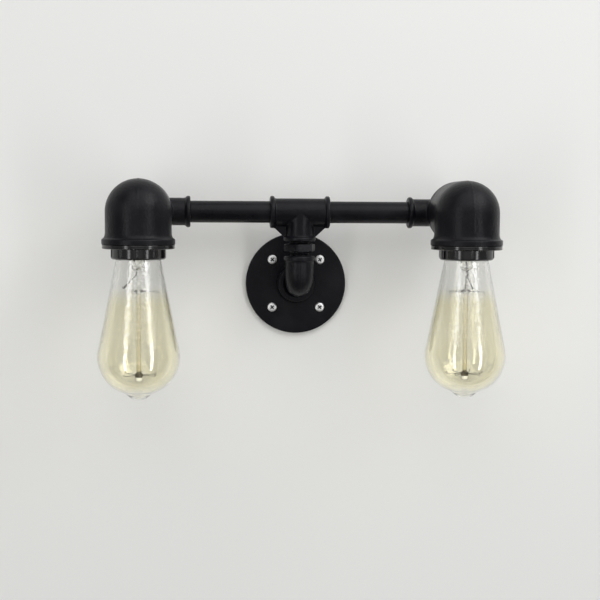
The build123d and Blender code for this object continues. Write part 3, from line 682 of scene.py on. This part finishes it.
cup = turned("cup", [
    Vector((0, 0, LAMP_REAR)), Vector((BALL_R, 0, LAMP_REAR))] + side_arc(BALL_R))
settled(cup, turn=BACKWARD)
arm = settled(leg(ARM_R, ARM_BEAD_R, ARM_BEAD_W, ARM_REACH), turn=ARM_TURN, place=(0, LAMP_OUT, 0))
side_elbow = cast(joined("right_side_elbow_casting", cup, arm), grain=0.5, passes=8)
hollow = turned("hollow", [
    Vector((0, 0, LAMP_REAR - 1)), Vector((JOIN_R, 0, LAMP_REAR - 1)),
    Vector((JOIN_R, 0, LAMP_REAR + JOIN_GRIP))] + side_arc(BALL_R - CAST_WALL, HOLLOW_FIRST))
trimmed(side_elbow, settled(hollow, turn=BACKWARD))
bored(side_elbow, ARM_BORE_R, 0, ARM_REACH, ARM_TURN, (0, LAMP_OUT, 0))
bored(side_elbow, PORT_R, ARM_REACH - PORT_DEEP, ARM_REACH + 1, ARM_TURN, (0, LAMP_OUT, 0))
tidied()
settled(side_elbow, place=(LAMP_X, LAMP_Y, PIPE_Z))
for side, piece in pair(side_elbow).items():
    given(piece, side + "_head", "black_casting", BLACK_CASTING, side + "_side_elbow")

# ---- Lamp elbows ---------------------------------------------------------------------------
# Short cast elbows that look down at the lamp. A band stiffens the mouth, a cove leads up to
# the barrel, and the mould's parting line runs over the dome as a low ridge.
LAMP_DROP = 25
BAND_R = 28.3
BAND_TOP = 4 - LAMP_DROP
COVE_TOP = 9.4 - LAMP_DROP
DOME_SEAM_R = BALL_R + 0.18
JOIN_BORE_R = 17.6
HOLDER_R = 19.75
HOLDER_GAP = 0.05


def ball(radius):
    """A fine sphere on the elbow's centre, its poles to the sides."""
    bpy.ops.object.select_all(action="DESELECT")
    bpy.ops.mesh.primitive_uv_sphere_add(
        segments=TURN_STEPS, ring_count=TURN_STEPS // 2, radius=radius * MM, location=(0, 0, 0))
    return settled(bpy.context.object, turn=(0, 90, 0))


def barrels(radius, low):
    """The elbow's two legs, one down to a height and one back to the rear rim."""
    rear = settled(plug(radius, 0, LAMP_REAR, TURN_STEPS), turn=BACKWARD)
    return [plug(radius, low, 0, TURN_STEPS), rear]


band = turned("band", outline([
    (0, -LAMP_DROP - 1, 0), (BAND_R, -LAMP_DROP - 1, 0), (BAND_R, BAND_TOP, 1.0),
    (BALL_R + 0.9, BAND_TOP + 0.9, 0.6), (BALL_R + 0.12, BAND_TOP + 3, 1.6), (BALL_R, COVE_TOP, 0),
    (0, COVE_TOP, 0)], 8))
seam = parting_line(ball(DOME_SEAM_R), *barrels(DOME_SEAM_R, COVE_TOP))
lamp_elbow = joined("right_lamp_elbow_casting", ball(BALL_R), *barrels(BALL_R, -LAMP_DROP - 1),
                    band, *seam)
cast(lamp_elbow, grain=0.42, passes=7)
kept(lamp_elbow, (0, 0, -1), (0, 0, -LAMP_DROP))
kept(lamp_elbow, (0, 1, 0), (0, LAMP_REAR - 0.05, 0))
applied(lamp_elbow, "BEVEL", width=0.5 * MM, segments=3, angle_limit=radians(60))
bored(lamp_elbow, HOLDER_R + HOLDER_GAP, -LAMP_DROP - 1, 0, sides=TURN_STEPS)
trimmed(lamp_elbow, ball(BALL_R - CAST_WALL))
bored(lamp_elbow, JOIN_BORE_R, 0, LAMP_REAR, BACKWARD, sides=TURN_STEPS)
bored(lamp_elbow, JOIN_R, LAMP_REAR - JOIN_GRIP, LAMP_REAR + 1, BACKWARD, sides=TURN_STEPS)
tidied()
settled(lamp_elbow, place=(LAMP_X, LAMP_Y, PIPE_Z))
for side, piece in pair(lamp_elbow).items():
    given(piece, side + "_head", "black_casting", BLACK_CASTING, side + "_lamp_elbow")

# ---- Shade rings ---------------------------------------------------------------------------
# Moulded bakelite rings that screw on the lampholder and clamp it under the elbow. A wide
# flange bears on the casting, and the skirt has grip ribs to turn it by. They come glossy.
RING_TOP = -25
FLANGE_LOW = -28.5
RING_LOW = -36.5
RING_R = 28
RING_EASE = 0.8
SKIRT_R = 21.2
SKIRT_EASE = 0.4
GROOVE_LOW = -27
GROOVE_TOP = -26.5
GROOVE_R = RING_R - 0.35
RIBS = 10
RIB_R = 1.5
RIB_PROUD = 0.55


def clouded(name, dark, light, smoothest, roughest, scale, detail, depth=0, twist=0.0, **values):
    """A finish whose tone and gloss wander together, with a relief where it has a depth."""
    made, tree, shader = finish(name, **values)
    cloud = noise(tree, scale, detail, Distortion=twist)
    fed(shader.inputs, Base_Color=ramp(tree, cloud, dark, light),
        Roughness=ranged(tree, cloud, 0.0, 1.0, smoothest, roughest))
    if depth:
        fed(shader.inputs, Normal=relief(tree, cloud, 0.4, depth))
    return made


def twins(piece, turns=(0, 0)):
    """The piece on each lamp's axis, not mirrored, each turned about it by so many degrees."""
    alone(piece)
    bpy.ops.object.duplicate()
    other = bpy.context.object
    other.name = other.data.name = piece.name.replace("right", "left")
    settled(piece, turn=(0, 0, turns[1]), place=(LAMP_X, LAMP_Y, PIPE_Z))
    settled(other, turn=(0, 0, turns[0]), place=(-LAMP_X, LAMP_Y, PIPE_Z))
    return {"right": piece, "left": other}


BAKELITE = clouded("bakelite", (0.0015, 0.0015, 0.002), (0.003, 0.003, 0.0034), 0.12, 0.2,
                   220.0, 4.0, 0.03, Specular_IOR_Level=0.65)
ring = turned("right_shade_ring_moulding", outline([
    (HOLDER_R + HOLDER_GAP, RING_TOP, 0), (HOLDER_R + HOLDER_GAP, RING_LOW, EDGE),
    (SKIRT_R - 1, RING_LOW, SKIRT_EASE), (SKIRT_R, RING_LOW + 1, SKIRT_EASE),
    (SKIRT_R, FLANGE_LOW, SKIRT_EASE), (RING_R, FLANGE_LOW, RING_EASE), (RING_R, GROOVE_LOW, 0.1),
    (GROOVE_R, GROOVE_LOW, 0.08), (GROOVE_R, GROOVE_TOP, 0.08), (RING_R, GROOVE_TOP, 0.1),
    (RING_R, RING_TOP, RING_EASE)]))
rib_low = RING_LOW + 1 + RIB_PROUD
rib_top = FLANGE_LOW + 0.2
for i in range(RIBS):
    angle = 2 * pi * i / RIBS - pi / 2
    rib = turned("rib", outline([
        (0, rib_low, 0), (RIB_R, rib_low, 0.5), (RIB_R, rib_top, 0), (0, rib_top, 0)]), steps=24)
    reach = SKIRT_R + RIB_PROUD - RIB_R
    trimmed(ring, settled(rib, place=(reach * cos(angle), reach * sin(angle), 0)), "UNION")
tidied()
for side, piece in twins(ring).items():
    given(piece, side + "_head", "bakelite", BAKELITE, side + "_shade_ring")

# ---- Lampholders ---------------------------------------------------------------------------
# Bakelite body and cap, hidden in the elbow, with the nipple that joins the head's elbows and
# the leads in their smooth black silicone sleeves. The ring screws on the body and clamps it.
SHEATH = clouded("lead sheath", (0.012, 0.012, 0.013), (0.035, 0.035, 0.036), 0.45, 0.65,
                 500.0, 3.0, Specular_IOR_Level=0.3)


def dressed(material, *names):
    """Gives solids that show as they are their finish."""
    for name in names:
        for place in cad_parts[name].material_slots:
            place.material = material


for side in ("left", "right"):
    dressed(BAKELITE, side + "_holder_body", side + "_holder_cap")
    dressed(BLACK_STEEL, side + "_joining_nipple")
    dressed(SHEATH, side + "_pipe_lead", side + "_head_lead")

# ---- Contacts ------------------------------------------------------------------------------
# A brass shell rolled to the lamp's thread, held under a glazed porcelain disc that carries the
# centre leaf and two terminal screws. All of it lies deep in the lampholder.
LAMP_PITCH = 3.629
CAP_RIM = -30.5
SHELL_LOW = -30
SHELL_CORE_R = 12.95
SHELL_CREST_R = 13.85
SHELL_RIM_R = 15.75
SHELL_RIM_T = 0.5
INSERT_LOW = -2.5
SHEET_T = 0.4
WAVE_STEPS = 12
ROLL_STEPS = 72


def rolled(name, core, crest, low, high, wall):
    """A thin tube about Z, rolled into the round waves of the lamp's thread."""
    middle, swing = (crest + core) / 2, (crest - core) / 2
    shares = [k / WAVE_STEPS for k in range(WAVE_STEPS + 1)]
    tube = drawn(name, [
        Vector((middle + swing * cos(2 * pi * share), 0, CAP_RIM + LAMP_PITCH * (share - 1)))
        for share in shares], False)
    applied(tube, "SCREW", steps=ROLL_STEPS, render_steps=ROLL_STEPS,
            screw_offset=LAMP_PITCH * MM, iterations=int((high - CAP_RIM) / LAMP_PITCH) + 3)
    tidied()
    for height, side in ((low, -1), (high, 1)):
        opened()
        bpy.ops.mesh.bisect(
            plane_co=(0, 0, height * MM), plane_no=(0, 0, side), clear_outer=True)
        closed()
    opened()
    bpy.ops.mesh.solidify(thickness=wall * MM)
    closed()
    tidied()
    return tube


def metal(name, dark, light, smoothest, roughest, scale=300.0):
    """A worn metal with a faint relief."""
    return clouded(name, dark, light, smoothest, roughest, scale, 5.0, 0.02, Metallic=1.0)


BRASS = metal("pressed brass", (0.5, 0.34, 0.13), (0.8, 0.62, 0.3), 0.2, 0.42)
PORCELAIN = clouded("glazed porcelain", (0.72, 0.7, 0.64), (0.82, 0.81, 0.77), 0.15, 0.35,
                    150.0, 3.0, Specular_IOR_Level=0.5)
shell = rolled("right_screw_shell_pressing", SHELL_CORE_R, SHELL_CREST_R, SHELL_LOW,
               INSERT_LOW - SHEET_T, SHEET_T)
rim = turned("rim", outline([
    (SHELL_CORE_R, INSERT_LOW - SHELL_RIM_T, 0), (SHELL_RIM_R, INSERT_LOW - SHELL_RIM_T, 0.1),
    (SHELL_RIM_R, INSERT_LOW, 0.1), (SHELL_CORE_R, INSERT_LOW, 0)]))
shell = joined("right_screw_shell_pressing", shell, rim)
for side, piece in twins(shell).items():
    given(piece, side + "_head", "brass", BRASS, side + "_screw_shell")
    dressed(PORCELAIN, side + "_contact_insert")
    dressed(BRASS, side + "_centre_contact", side + "_terminal_screws")

# ---- Lamp caps -----------------------------------------------------------------------------
# The lamp's own cap: a nickel-plated shell rolled to the thread, a black glass insulator at its
# end and a solder-coated tip that the centre leaf touches.
THREAD_CORE = 12.15
THREAD_CREST = 13.1
ROLL_LOW = -26.8
ROLL_HIGH = -13.2
CAP_R = 12.95
CAP_IN_R = 12.55
CAP_TOP = -10.5
CROWN_IN_R = 10.2
TIP_LOW = -4.8
TIP_TOP = -3.6
TIP_R = 4.7
TIP_STEPS = 10

PLATED = metal("nickel plate", (0.55, 0.54, 0.5), (0.78, 0.77, 0.73), 0.18, 0.4)
SOLDER = metal("solder", (0.4, 0.4, 0.41), (0.66, 0.66, 0.66), 0.3, 0.55, 700.0)
VITRITE = clouded("black glass", (0.006, 0.005, 0.009), (0.03, 0.027, 0.04), 0.08, 0.25,
                  260.0, 4.0, twist=1.5, Specular_IOR_Level=0.5)
rolling = rolled("right_lamp_cap_shell", THREAD_CORE, THREAD_CREST, ROLL_LOW, ROLL_HIGH, SHEET_T)
skirt = turned("skirt", outline([
    (CAP_IN_R, CAP_RIM, 0.1), (CAP_R, CAP_RIM, 0.15), (CAP_R, -26.6, 0.5), (12.3, -26.2, 0.2),
    (11.7, -26.4, 0), (11.9, -27.0, 0.2), (CAP_IN_R, -27.4, 0)]))
crown = turned("crown", outline([
    (11.7, -13.6, 0), (12.5, -13.6, 0.2), (12.4, -12.2, 0.9), (11.4, CAP_TOP, 0.5),
    (CROWN_IN_R, CAP_TOP, 0.1), (CROWN_IN_R, CAP_TOP - 0.5, 0.1), (11.1, -11.3, 0.6),
    (11.7, -12.6, 0)]))
cap = joined("right_lamp_cap_shell", rolling, skirt, crown)
insulator = turned("right_lamp_insulator_glass", outline([
    (0, -11.3, 0), (CROWN_IN_R + 0.2, -11.3, 0.3), (11.2, CAP_TOP + 0.1, 0.4), (8.6, -7.4, 1.6),
    (TIP_R + 0.6, TIP_LOW, 0.4), (0, TIP_LOW, 0)]))
bends = [k * pi / 2 / TIP_STEPS for k in range(TIP_STEPS + 1)]
tip = turned("right_lamp_tip_solder", [Vector((0, 0, TIP_LOW))] + [
    Vector((TIP_R * cos(a), 0, TIP_LOW + (TIP_TOP - TIP_LOW) * sin(a))) for a in bends])
for piece, body, slot, material, name in (
        (cap, "_lamp", "plated_cap", PLATED, "_lamp_cap"),
        (insulator, "_lamp", "vitrite", VITRITE, "_lamp_insulator"),
        (tip, "_lamp_tip", "solder", SOLDER, "_lamp_contact")):
    for side, twin in twins(piece).items():
        given(twin, side + body, slot, material, side + name)

# ---- Lamp glass ----------------------------------------------------------------------------
# Blown soda glass in the old drop shape, its pip left where the tube was drawn off. The lower
# part is lacquered amber inside, and the neck stays clear.
GLASS_LOW = -145.7
GLASS_BELLY_R = 29
GLASS_OFFSET = 3
GLASS_TAPER = radians(11.3)
GLASS_WALL = 0.8
BELLY_STEPS = 36
SHOULDER_R = 5.2
SHOULDER_Z = -32.1
NECK_R_GLASS = 12.4
NECK_TOP = -26.9
BELLY_Z = -112.6
PIP_R = 12.8
PIP_NECK_R = 10.2
PIP_NECK_Z = -141.3
PIP_EASE = 4
NOSE_R = 4.9
NOSE_EASE = 8
TINT_TOP = -62
TINT_WANDER = 4 * MM
RIPPLE_OUTSIDE = 0.36
RIPPLE_THROUGH = 0.17


def bend(start, along, end, steps):
    """Points of the arc that leaves the start along a direction and arrives at the end."""
    chord = end - start
    across = Vector((-along.z, 0, along.x))
    radius = chord.length_squared / (2 * chord.dot(across))
    centre = start + across * radius
    first, last = start - centre, end - centre
    turn = first.rotation_difference(last)
    return [centre + Quaternion().slerp(turn, k / steps) @ first for k in range(steps + 1)]


def glass_outline(inset):
    """Half outline of the glass from its tip to its neck, moved in by its wall."""
    belly, pip = GLASS_BELLY_R - inset, PIP_R - inset
    tip = GLASS_LOW + inset
    low = -acos((pip - GLASS_OFFSET) / belly)
    turns = [low + (GLASS_TAPER - low) * k / BELLY_STEPS for k in range(BELLY_STEPS + 1)]
    body = [Vector((GLASS_OFFSET + belly * cos(a), 0, BELLY_Z + belly * sin(a))) for a in turns]
    points = outline([
        (0, tip, 0), (NOSE_R - inset, tip, NOSE_EASE),
        (PIP_NECK_R - inset, PIP_NECK_Z + inset / 2, PIP_EASE),
        (body[0].x, body[0].z, 0)])[:-1] + body
    flank = points[-1]
    up = Vector((-sin(GLASS_TAPER), 0, cos(GLASS_TAPER)))
    shelf = SHOULDER_Z - inset
    corner = flank + up * ((shelf - flank.z) / up.z)
    ease = (SHOULDER_R - inset) / tan(pi / 4 + GLASS_TAPER / 2)
    under = corner - up * ease
    points += [flank.lerp(under, k / 12) for k in range(1, 12)]
    points += bend(under, up, corner - Vector((ease, 0, 0)), 10)
    neck = NECK_R_GLASS - inset
    return points + [Vector((neck, 0, shelf)), Vector((neck, 0, NECK_TOP))]


def level(height):
    """A height on the lamp as the scene has it, in metres."""
    return (PIPE_Z + height) * MM


def let_through(tree, shader, share, tint=(1, 1, 1, 1)):
    """Makes the surface clear, in this tint, where the share says so."""
    mix = node(tree, "MixShader", Fac=share)
    put(mix.inputs[1], shader.outputs["BSDF"])
    put(mix.inputs[2], node(tree, "BsdfTransparent", Color=tint).outputs["BSDF"])
    put(tree.nodes["Material Output"].inputs["Surface"], mix.outputs["Shader"])


def lamp_light(tree, shader, tint):
    """Lets lamps shine through the glass, tinted, so that it casts only a faint shadow."""
    let_through(tree, shader, node(tree, "LightPath").outputs["Is Shadow Ray"], tint)


def amber_glass():
    """Clear at the neck, amber from the upper button down, in faint upright streaks. The
    ripple of the glass breaks up what it mirrors more than what shows through it."""
    made, tree, shader = finish("amber glass", Transmission_Weight=1.0, IOR=1.5, Roughness=0.0,
                                Coat_Weight=1.0, Coat_IOR=1.6, Coat_Roughness=0.0)
    place = spot(tree)
    height = node(tree, "SeparateXYZ", Vector=place).outputs["Z"]
    upright = node(tree, "Mapping", Vector=place, Scale=(1, 1, 0.06)).outputs["Vector"]
    streaks = noise(tree, 260.0, 3.0, upright)
    wander = ranged(tree, streaks, 0.0, 1.0, -TINT_WANDER, TINT_WANDER)
    edge = worked(tree, "Math", "ADD", height, wander)
    tinted = ranged(tree, edge, level(TINT_TOP + 3), level(TINT_TOP - 9))
    pip = ranged(tree, height, level(PIP_NECK_Z - 1), level(PIP_NECK_Z + 2), 0.3)
    share = worked(tree, "Math", "MULTIPLY", tinted, pip)
    amber = ramp(tree, streaks, (0.99, 0.954, 0.785), (1.0, 0.99, 0.89))
    ripple = noise(tree, 520.0, 1.0, place)
    uneven = ranged(tree, height, level(BELLY_Z), level(BELLY_Z + 18), 0.06)
    facing = node(tree, "LayerWeight", Blend=0.5).outputs["Facing"]
    centred = ranged(tree, facing, 0.3, 0.6, 1.0, 0.1)
    strength = worked(tree, "Math", "MULTIPLY", uneven, centred)
    fed(shader.inputs, Base_Color=mixed(tree, share, (1.0, 1.0, 0.988, 1), amber),
        Normal=relief(tree, ripple, strength, RIPPLE_THROUGH),
        Coat_Normal=relief(tree, ripple, strength, RIPPLE_OUTSIDE))
    lamp_light(tree, shader, (0.985, 0.983, 0.965, 1))
    return made


AMBER_GLASS = amber_glass()
glass = turned("right_lamp_glass_envelope",
               glass_outline(0) + glass_outline(GLASS_WALL)[::-1], False)
for side, piece in twins(glass).items():
    given(piece, side + "_lamp", "amber_glass", AMBER_GLASS, side + "_lamp_glass")

# ---- Lamp stem -----------------------------------------------------------------------------
# A tube of clear glass, flared where it is sealed into the neck and pinched shut over the lead
# wires, then a rod with two glass buttons that the filament's supports are stuck into.
STEM_R = 5.0
STEM_WALL = 0.9
FLARE_R = 11
FLARE_Z = -32
PRESS_Z = -45.8
KNOT_R = 2.1
KNOT_H = 3.2
BUTTON_TOP = -61.3
BUTTON_LOW = -126.5
BUTTON_R = 3.2
BUTTON_H = 3.2
ROD_THIN_R = 1.5
ROD_R = 1.8
END_R = 3.0
END_H = 3.6
CLEAR = (0.99, 0.99, 0.98)
GREYED = (0.95, 0.95, 0.92)
LOW_BUTTON_DARK = (0.1, 0.08, 0.05)


def stem_glass():
    """Clear above the upper button, amber below it and dark round the lower one. Along the rod its
    edges are painted dark as shade, and below the lower button it is a nearly opaque pale painted
    highlight.
    """
    made, tree, shader = finish("stem glass", Transmission_Weight=1.0, IOR=1.5, Roughness=0.02)
    place = spot(tree)
    height = node(tree, "SeparateXYZ", Vector=place).outputs["Z"]
    # The ramp is dark brown round the lower button.
    tone = ramp(tree, ranged(tree, height, level(BUTTON_LOW - 4), level(BUTTON_TOP + 4)),
                CLEAR, GREYED, (0.032, CLEAR), (0.036, LOW_BUTTON_DARK), (0.075, LOW_BUTTON_DARK),
                (0.1, (0.9, 0.84, 0.68)), (0.9, (0.94, 0.9, 0.78)), (0.93, GREYED))
    # Painted shade: along the rod the glass is coloured dark brown towards its edges as seen,
    # standing in for the dark rims that the light bent through it gives.
    facing = node(tree, "LayerWeight", Blend=0.5).outputs["Facing"]
    edge = worked(tree, "Math", "POWER", facing, 1.2)
    rim_shade_on_rod = ranged(tree, height, level(BUTTON_TOP + 3), level(BUTTON_TOP + 8), 1.0, 0.15)
    share = worked(tree, "Math", "MULTIPLY", edge, rim_shade_on_rod)
    # Painted highlight: below the middle of the lower button the glass lets little light through
    # and shows its pale clear tone, a bright spot standing in for the reflection in the stem's
    # end.
    painted_glint = ranged(tree, height, level(BUTTON_LOW - 2.2), level(BUTTON_LOW - 1.6), 0.15)
    fed(shader.inputs, Base_Color=mixed(tree, share, tone, (0.08, 0.06, 0.03, 1)),
        Transmission_Weight=painted_glint, Normal=relief(tree, noise(tree, 220.0, 2.0, place), 1.0, 0.08))
    lamp_light(tree, shader, (0.95, 0.94, 0.88, 1))
    return made


def button(height, above, below):
    """Corners of a rounded glass bead on the stem between two rods."""
    half, ease = BUTTON_H / 2, BUTTON_H * 0.4
    return [(above, height + half, EDGE), (BUTTON_R, height + half, ease),
            (BUTTON_R, height - half, ease), (below, height - half, EDGE)]


STEM_GLASS = stem_glass()
inner = STEM_R - STEM_WALL
end_top = BUTTON_LOW - BUTTON_H / 2
stem = turned("right_lamp_stem_drawn", outline(
    [(0, PRESS_Z + 1.9, 0), (inner, PRESS_Z + 1.9, 2.4), (inner, FLARE_Z, 2),
     (FLARE_R - 0.6, NECK_TOP, 0), (FLARE_R, NECK_TOP, 0), (STEM_R, FLARE_Z, 3),
     (STEM_R, PRESS_Z + 1, 3), (KNOT_R, PRESS_Z + 0.6, 0.4), (KNOT_R, PRESS_Z - KNOT_H, 1.2),
     (ROD_THIN_R, PRESS_Z - KNOT_H - 0.4, 0.1)]
    + button(BUTTON_TOP, ROD_THIN_R, ROD_R) + button(BUTTON_LOW, ROD_R, END_R * 0.8)
    + [(END_R, end_top - 0.6, 0.4), (END_R, end_top - END_H, 1.4), (0, end_top - END_H, 0)]),
    False, 48)
for side, piece in twins(stem).items():
    given(piece, side + "_lamp", "stem_glass", STEM_GLASS, side + "_lamp_stem")

# ---- Filament and its wires ----------------------------------------------------------------
# Fine nickel hooks stand out of both buttons, two stiff leads come down from the press, and one
# long filament zigzags between them, crimped to a lead at each end.
CAGE_R = 14.8
UPPER_HOOKS = 5
HOOK_ROOT = 1.2
HOOK_R = 0.7
SUPPORT_R = 0.2
LEAD_R = 0.36
CRIMP_R = 0.55
FILAMENT_R = 0.06
FILAMENT_HALF_TURN = 2.2
LEAD_END_R = 11.3
LEAD_END_Z = -58.1
LAMP_TURNS = (-28, 62)


def around(angle, reach, height):
    """A place in the lamp, by its angle in degrees, its distance from the axis and its height."""
    return Vector((reach * cos(radians(angle)), reach * sin(radians(angle)), height))


def wire(name, points, radius):
    """A round wire bent through the points."""
    drawn(name, points, False)
    bpy.ops.object.convert(target="CURVE")
    bent = bpy.context.object
    bent.data.bevel_depth = radius * MM
    bent.data.bevel_resolution = 2
    bent.data.use_fill_caps = True
    bpy.ops.object.convert(target="MESH")
    tidied()
    return bpy.context.object


def hook(angle, height, side):
    """A support wire from a button out to the cage, its end curled up or down."""
    curl = [around(angle, CAGE_R - HOOK_R * (1 - sin(a)), height + side * HOOK_R * (1 - cos(a)))
            for a in (0, pi / 4, pi / 2, 3 * pi / 4, pi, 5 * pi / 4)]
    return wire("hook", [around(angle, HOOK_ROOT, height)] + curl, SUPPORT_R)


step = 360 / (UPPER_HOOKS + 1.5)
upper = [step * (i + 0.75) - 180 for i in range(UPPER_HOOKS + 2)]
lower = [(a + b) / 2 for a, b in zip(upper, upper[1:])]
hooks = [hook(angle, BUTTON_TOP, -1) for angle in upper[1:-1]]
hooks += [hook(angle, BUTTON_LOW, 1) for angle in lower]
supports = joined("right_lamp_hooks", *hooks)
leads = []
for angle in (upper[0], upper[-1]):
    path = [around(angle, 3.6, -33), around(angle, 3.2, -38), around(angle, 1.0, PRESS_Z + 1),
            around(angle + 30, 1.9, PRESS_Z - 2.6), around(angle, 2.1, PRESS_Z - 3.4),
            around(angle, LEAD_END_R, LEAD_END_Z)]
    leads.append(wire("lead", path, LEAD_R))
    out = (path[-1] - path[-2]).normalized()
    leads.append(wire("crimp", [path[-1] - out, path[-1] + out], CRIMP_R))
leads = joined("right_lamp_lead_wires_bent", *leads)
half = FILAMENT_HALF_TURN
zigzag = [around(upper[0], LEAD_END_R, LEAD_END_Z)]
for down, up in zip(lower, upper[1:]):
    zigzag += [around(down + side * half, CAGE_R, BUTTON_LOW + HOOK_R) for side in (-1, 1)]
    zigzag += [around(up + side * half, CAGE_R, BUTTON_TOP - HOOK_R) for side in (-1, 1)]
zigzag[-2:] = [around(upper[-1], LEAD_END_R, LEAD_END_Z)]
filament = wire("right_lamp_filament_drawn", zigzag, FILAMENT_R)
NICKEL = metal("dull nickel wire", (0.03, 0.026, 0.022), (0.1, 0.088, 0.078), 0.35, 0.6)
TUNGSTEN = metal("filament", (0.42, 0.38, 0.3), (0.6, 0.56, 0.48), 0.4, 0.6)
for piece, slot, material, name in (
        (supports, "nickel_wire", NICKEL, "_lamp_support_wires"),
        (leads, "nickel_wire", NICKEL, "_lamp_lead_wires"),
        (filament, "filament_wire", TUNGSTEN, "_lamp_filament")):
    for side, twin in twins(piece, LAMP_TURNS).items():
        given(twin, side + "_lamp", slot, material, side + name)

# ---- Wall and floor ------------------------------------------------------------------------
# The painted wall that the light is screwed to and a floor far below it, one sided so that
# they do not hide the part from behind.
WALL_HALF = 3.0
FLOOR_Z = -1.9
PAINT_DULLED = 0.985


def paint(name, colour):
    """Pale paint, seen only from its front."""
    made, tree, shader = finish(name, Roughness=0.7, Specular_IOR_Level=0.2)
    dull = tuple(c * PAINT_DULLED for c in colour)
    fed(shader.inputs, Base_Color=ramp(tree, noise(tree, 3.0, 4.0), dull, colour))
    let_through(tree, shader, node(tree, "NewGeometry").outputs["Backfacing"])
    return made


bpy.ops.object.select_all(action="DESELECT")
bpy.ops.mesh.primitive_plane_add(size=2 * WALL_HALF, rotation=(pi / 2, 0, 0), location=(0, 0, 0))
wall = bpy.context.object
wall.name = "wall"
bpy.ops.mesh.primitive_plane_add(size=2 * WALL_HALF, location=(0, -WALL_HALF, FLOOR_Z))
floor = bpy.context.object
floor.name = "floor"
wall.data.materials.append(paint("wall paint", (0.84, 0.84, 0.825)))
floor.data.materials.append(paint("floor paint", (0.26, 0.255, 0.24)))

# ---- Lights and camera ---------------------------------------------------------------------
# Two tall windows in front, left and right, a high one on the right, a wide ceiling, a dim far
# wall and an even room light. The camera stands a little left of the light's middle.
CAMERA_PLACE = (-0.0872, -1.0706, 0.0670)
CAMERA_YAW = radians(4.872)
CAMERA_PITCH = radians(-4.339)
CAMERA_ROLL = radians(0.35)
FOCAL_PX = 1272.2
IMAGE_PX = 600
NEAR_CLIP = 0.01


def window(name, place, wide, high, power, aim=(0, 0, 0)):
    """A soft rectangular light that looks at the light fitting."""
    lamp = bpy.data.lights.new(name, "AREA")
    lamp.shape = "RECTANGLE"
    lamp.size, lamp.size_y = wide, high
    lamp.energy = power
    made = bpy.data.objects.new(name, lamp)
    bpy.context.scene.collection.objects.link(made)
    made.location = place
    made.rotation_euler = (Vector(place) - Vector(aim)).to_track_quat("Z", "Y").to_euler()
    made.visible_camera = False


window("left_window", (-1.65, -2.05, -0.05), 0.34, 3.3, 15.2, (0, 0, -0.05))
window("right_window", (1.19, -1.69, -0.05), 0.24, 2.6, 9.6, (0, 0, -0.05))
window("high_window", (1.1, -0.9, 1.3), 1.0, 1.0, 7)
window("ceiling", (0.45, -1.3, 1.7), 3.6, 2.4, 35)
window("far_wall", (-0.1, -2.3, 0.1), 1.5, 1.5, 1.5)

world = bpy.data.worlds.new("room")
bpy.context.scene.world = world
world.use_nodes = True
fed(world.node_tree.nodes["Background"].inputs, Color=(0.3, 0.3, 0.298, 1), Strength=1.0)

lens = bpy.data.cameras.new("camera")
lens.lens = FOCAL_PX / IMAGE_PX * lens.sensor_width
lens.clip_start = NEAR_CLIP
camera = bpy.data.objects.new("camera", lens)
bpy.context.scene.collection.objects.link(camera)
camera.location = CAMERA_PLACE
turn = Matrix.Rotation(-CAMERA_YAW, 3, "Z") @ Matrix.Rotation(pi / 2 + CAMERA_PITCH, 3, "X")
camera.rotation_euler = (turn @ Matrix.Rotation(CAMERA_ROLL, 3, "Z")).to_euler()
bpy.context.scene.camera = camera
bpy.context.scene.view_settings.view_transform = "Standard"
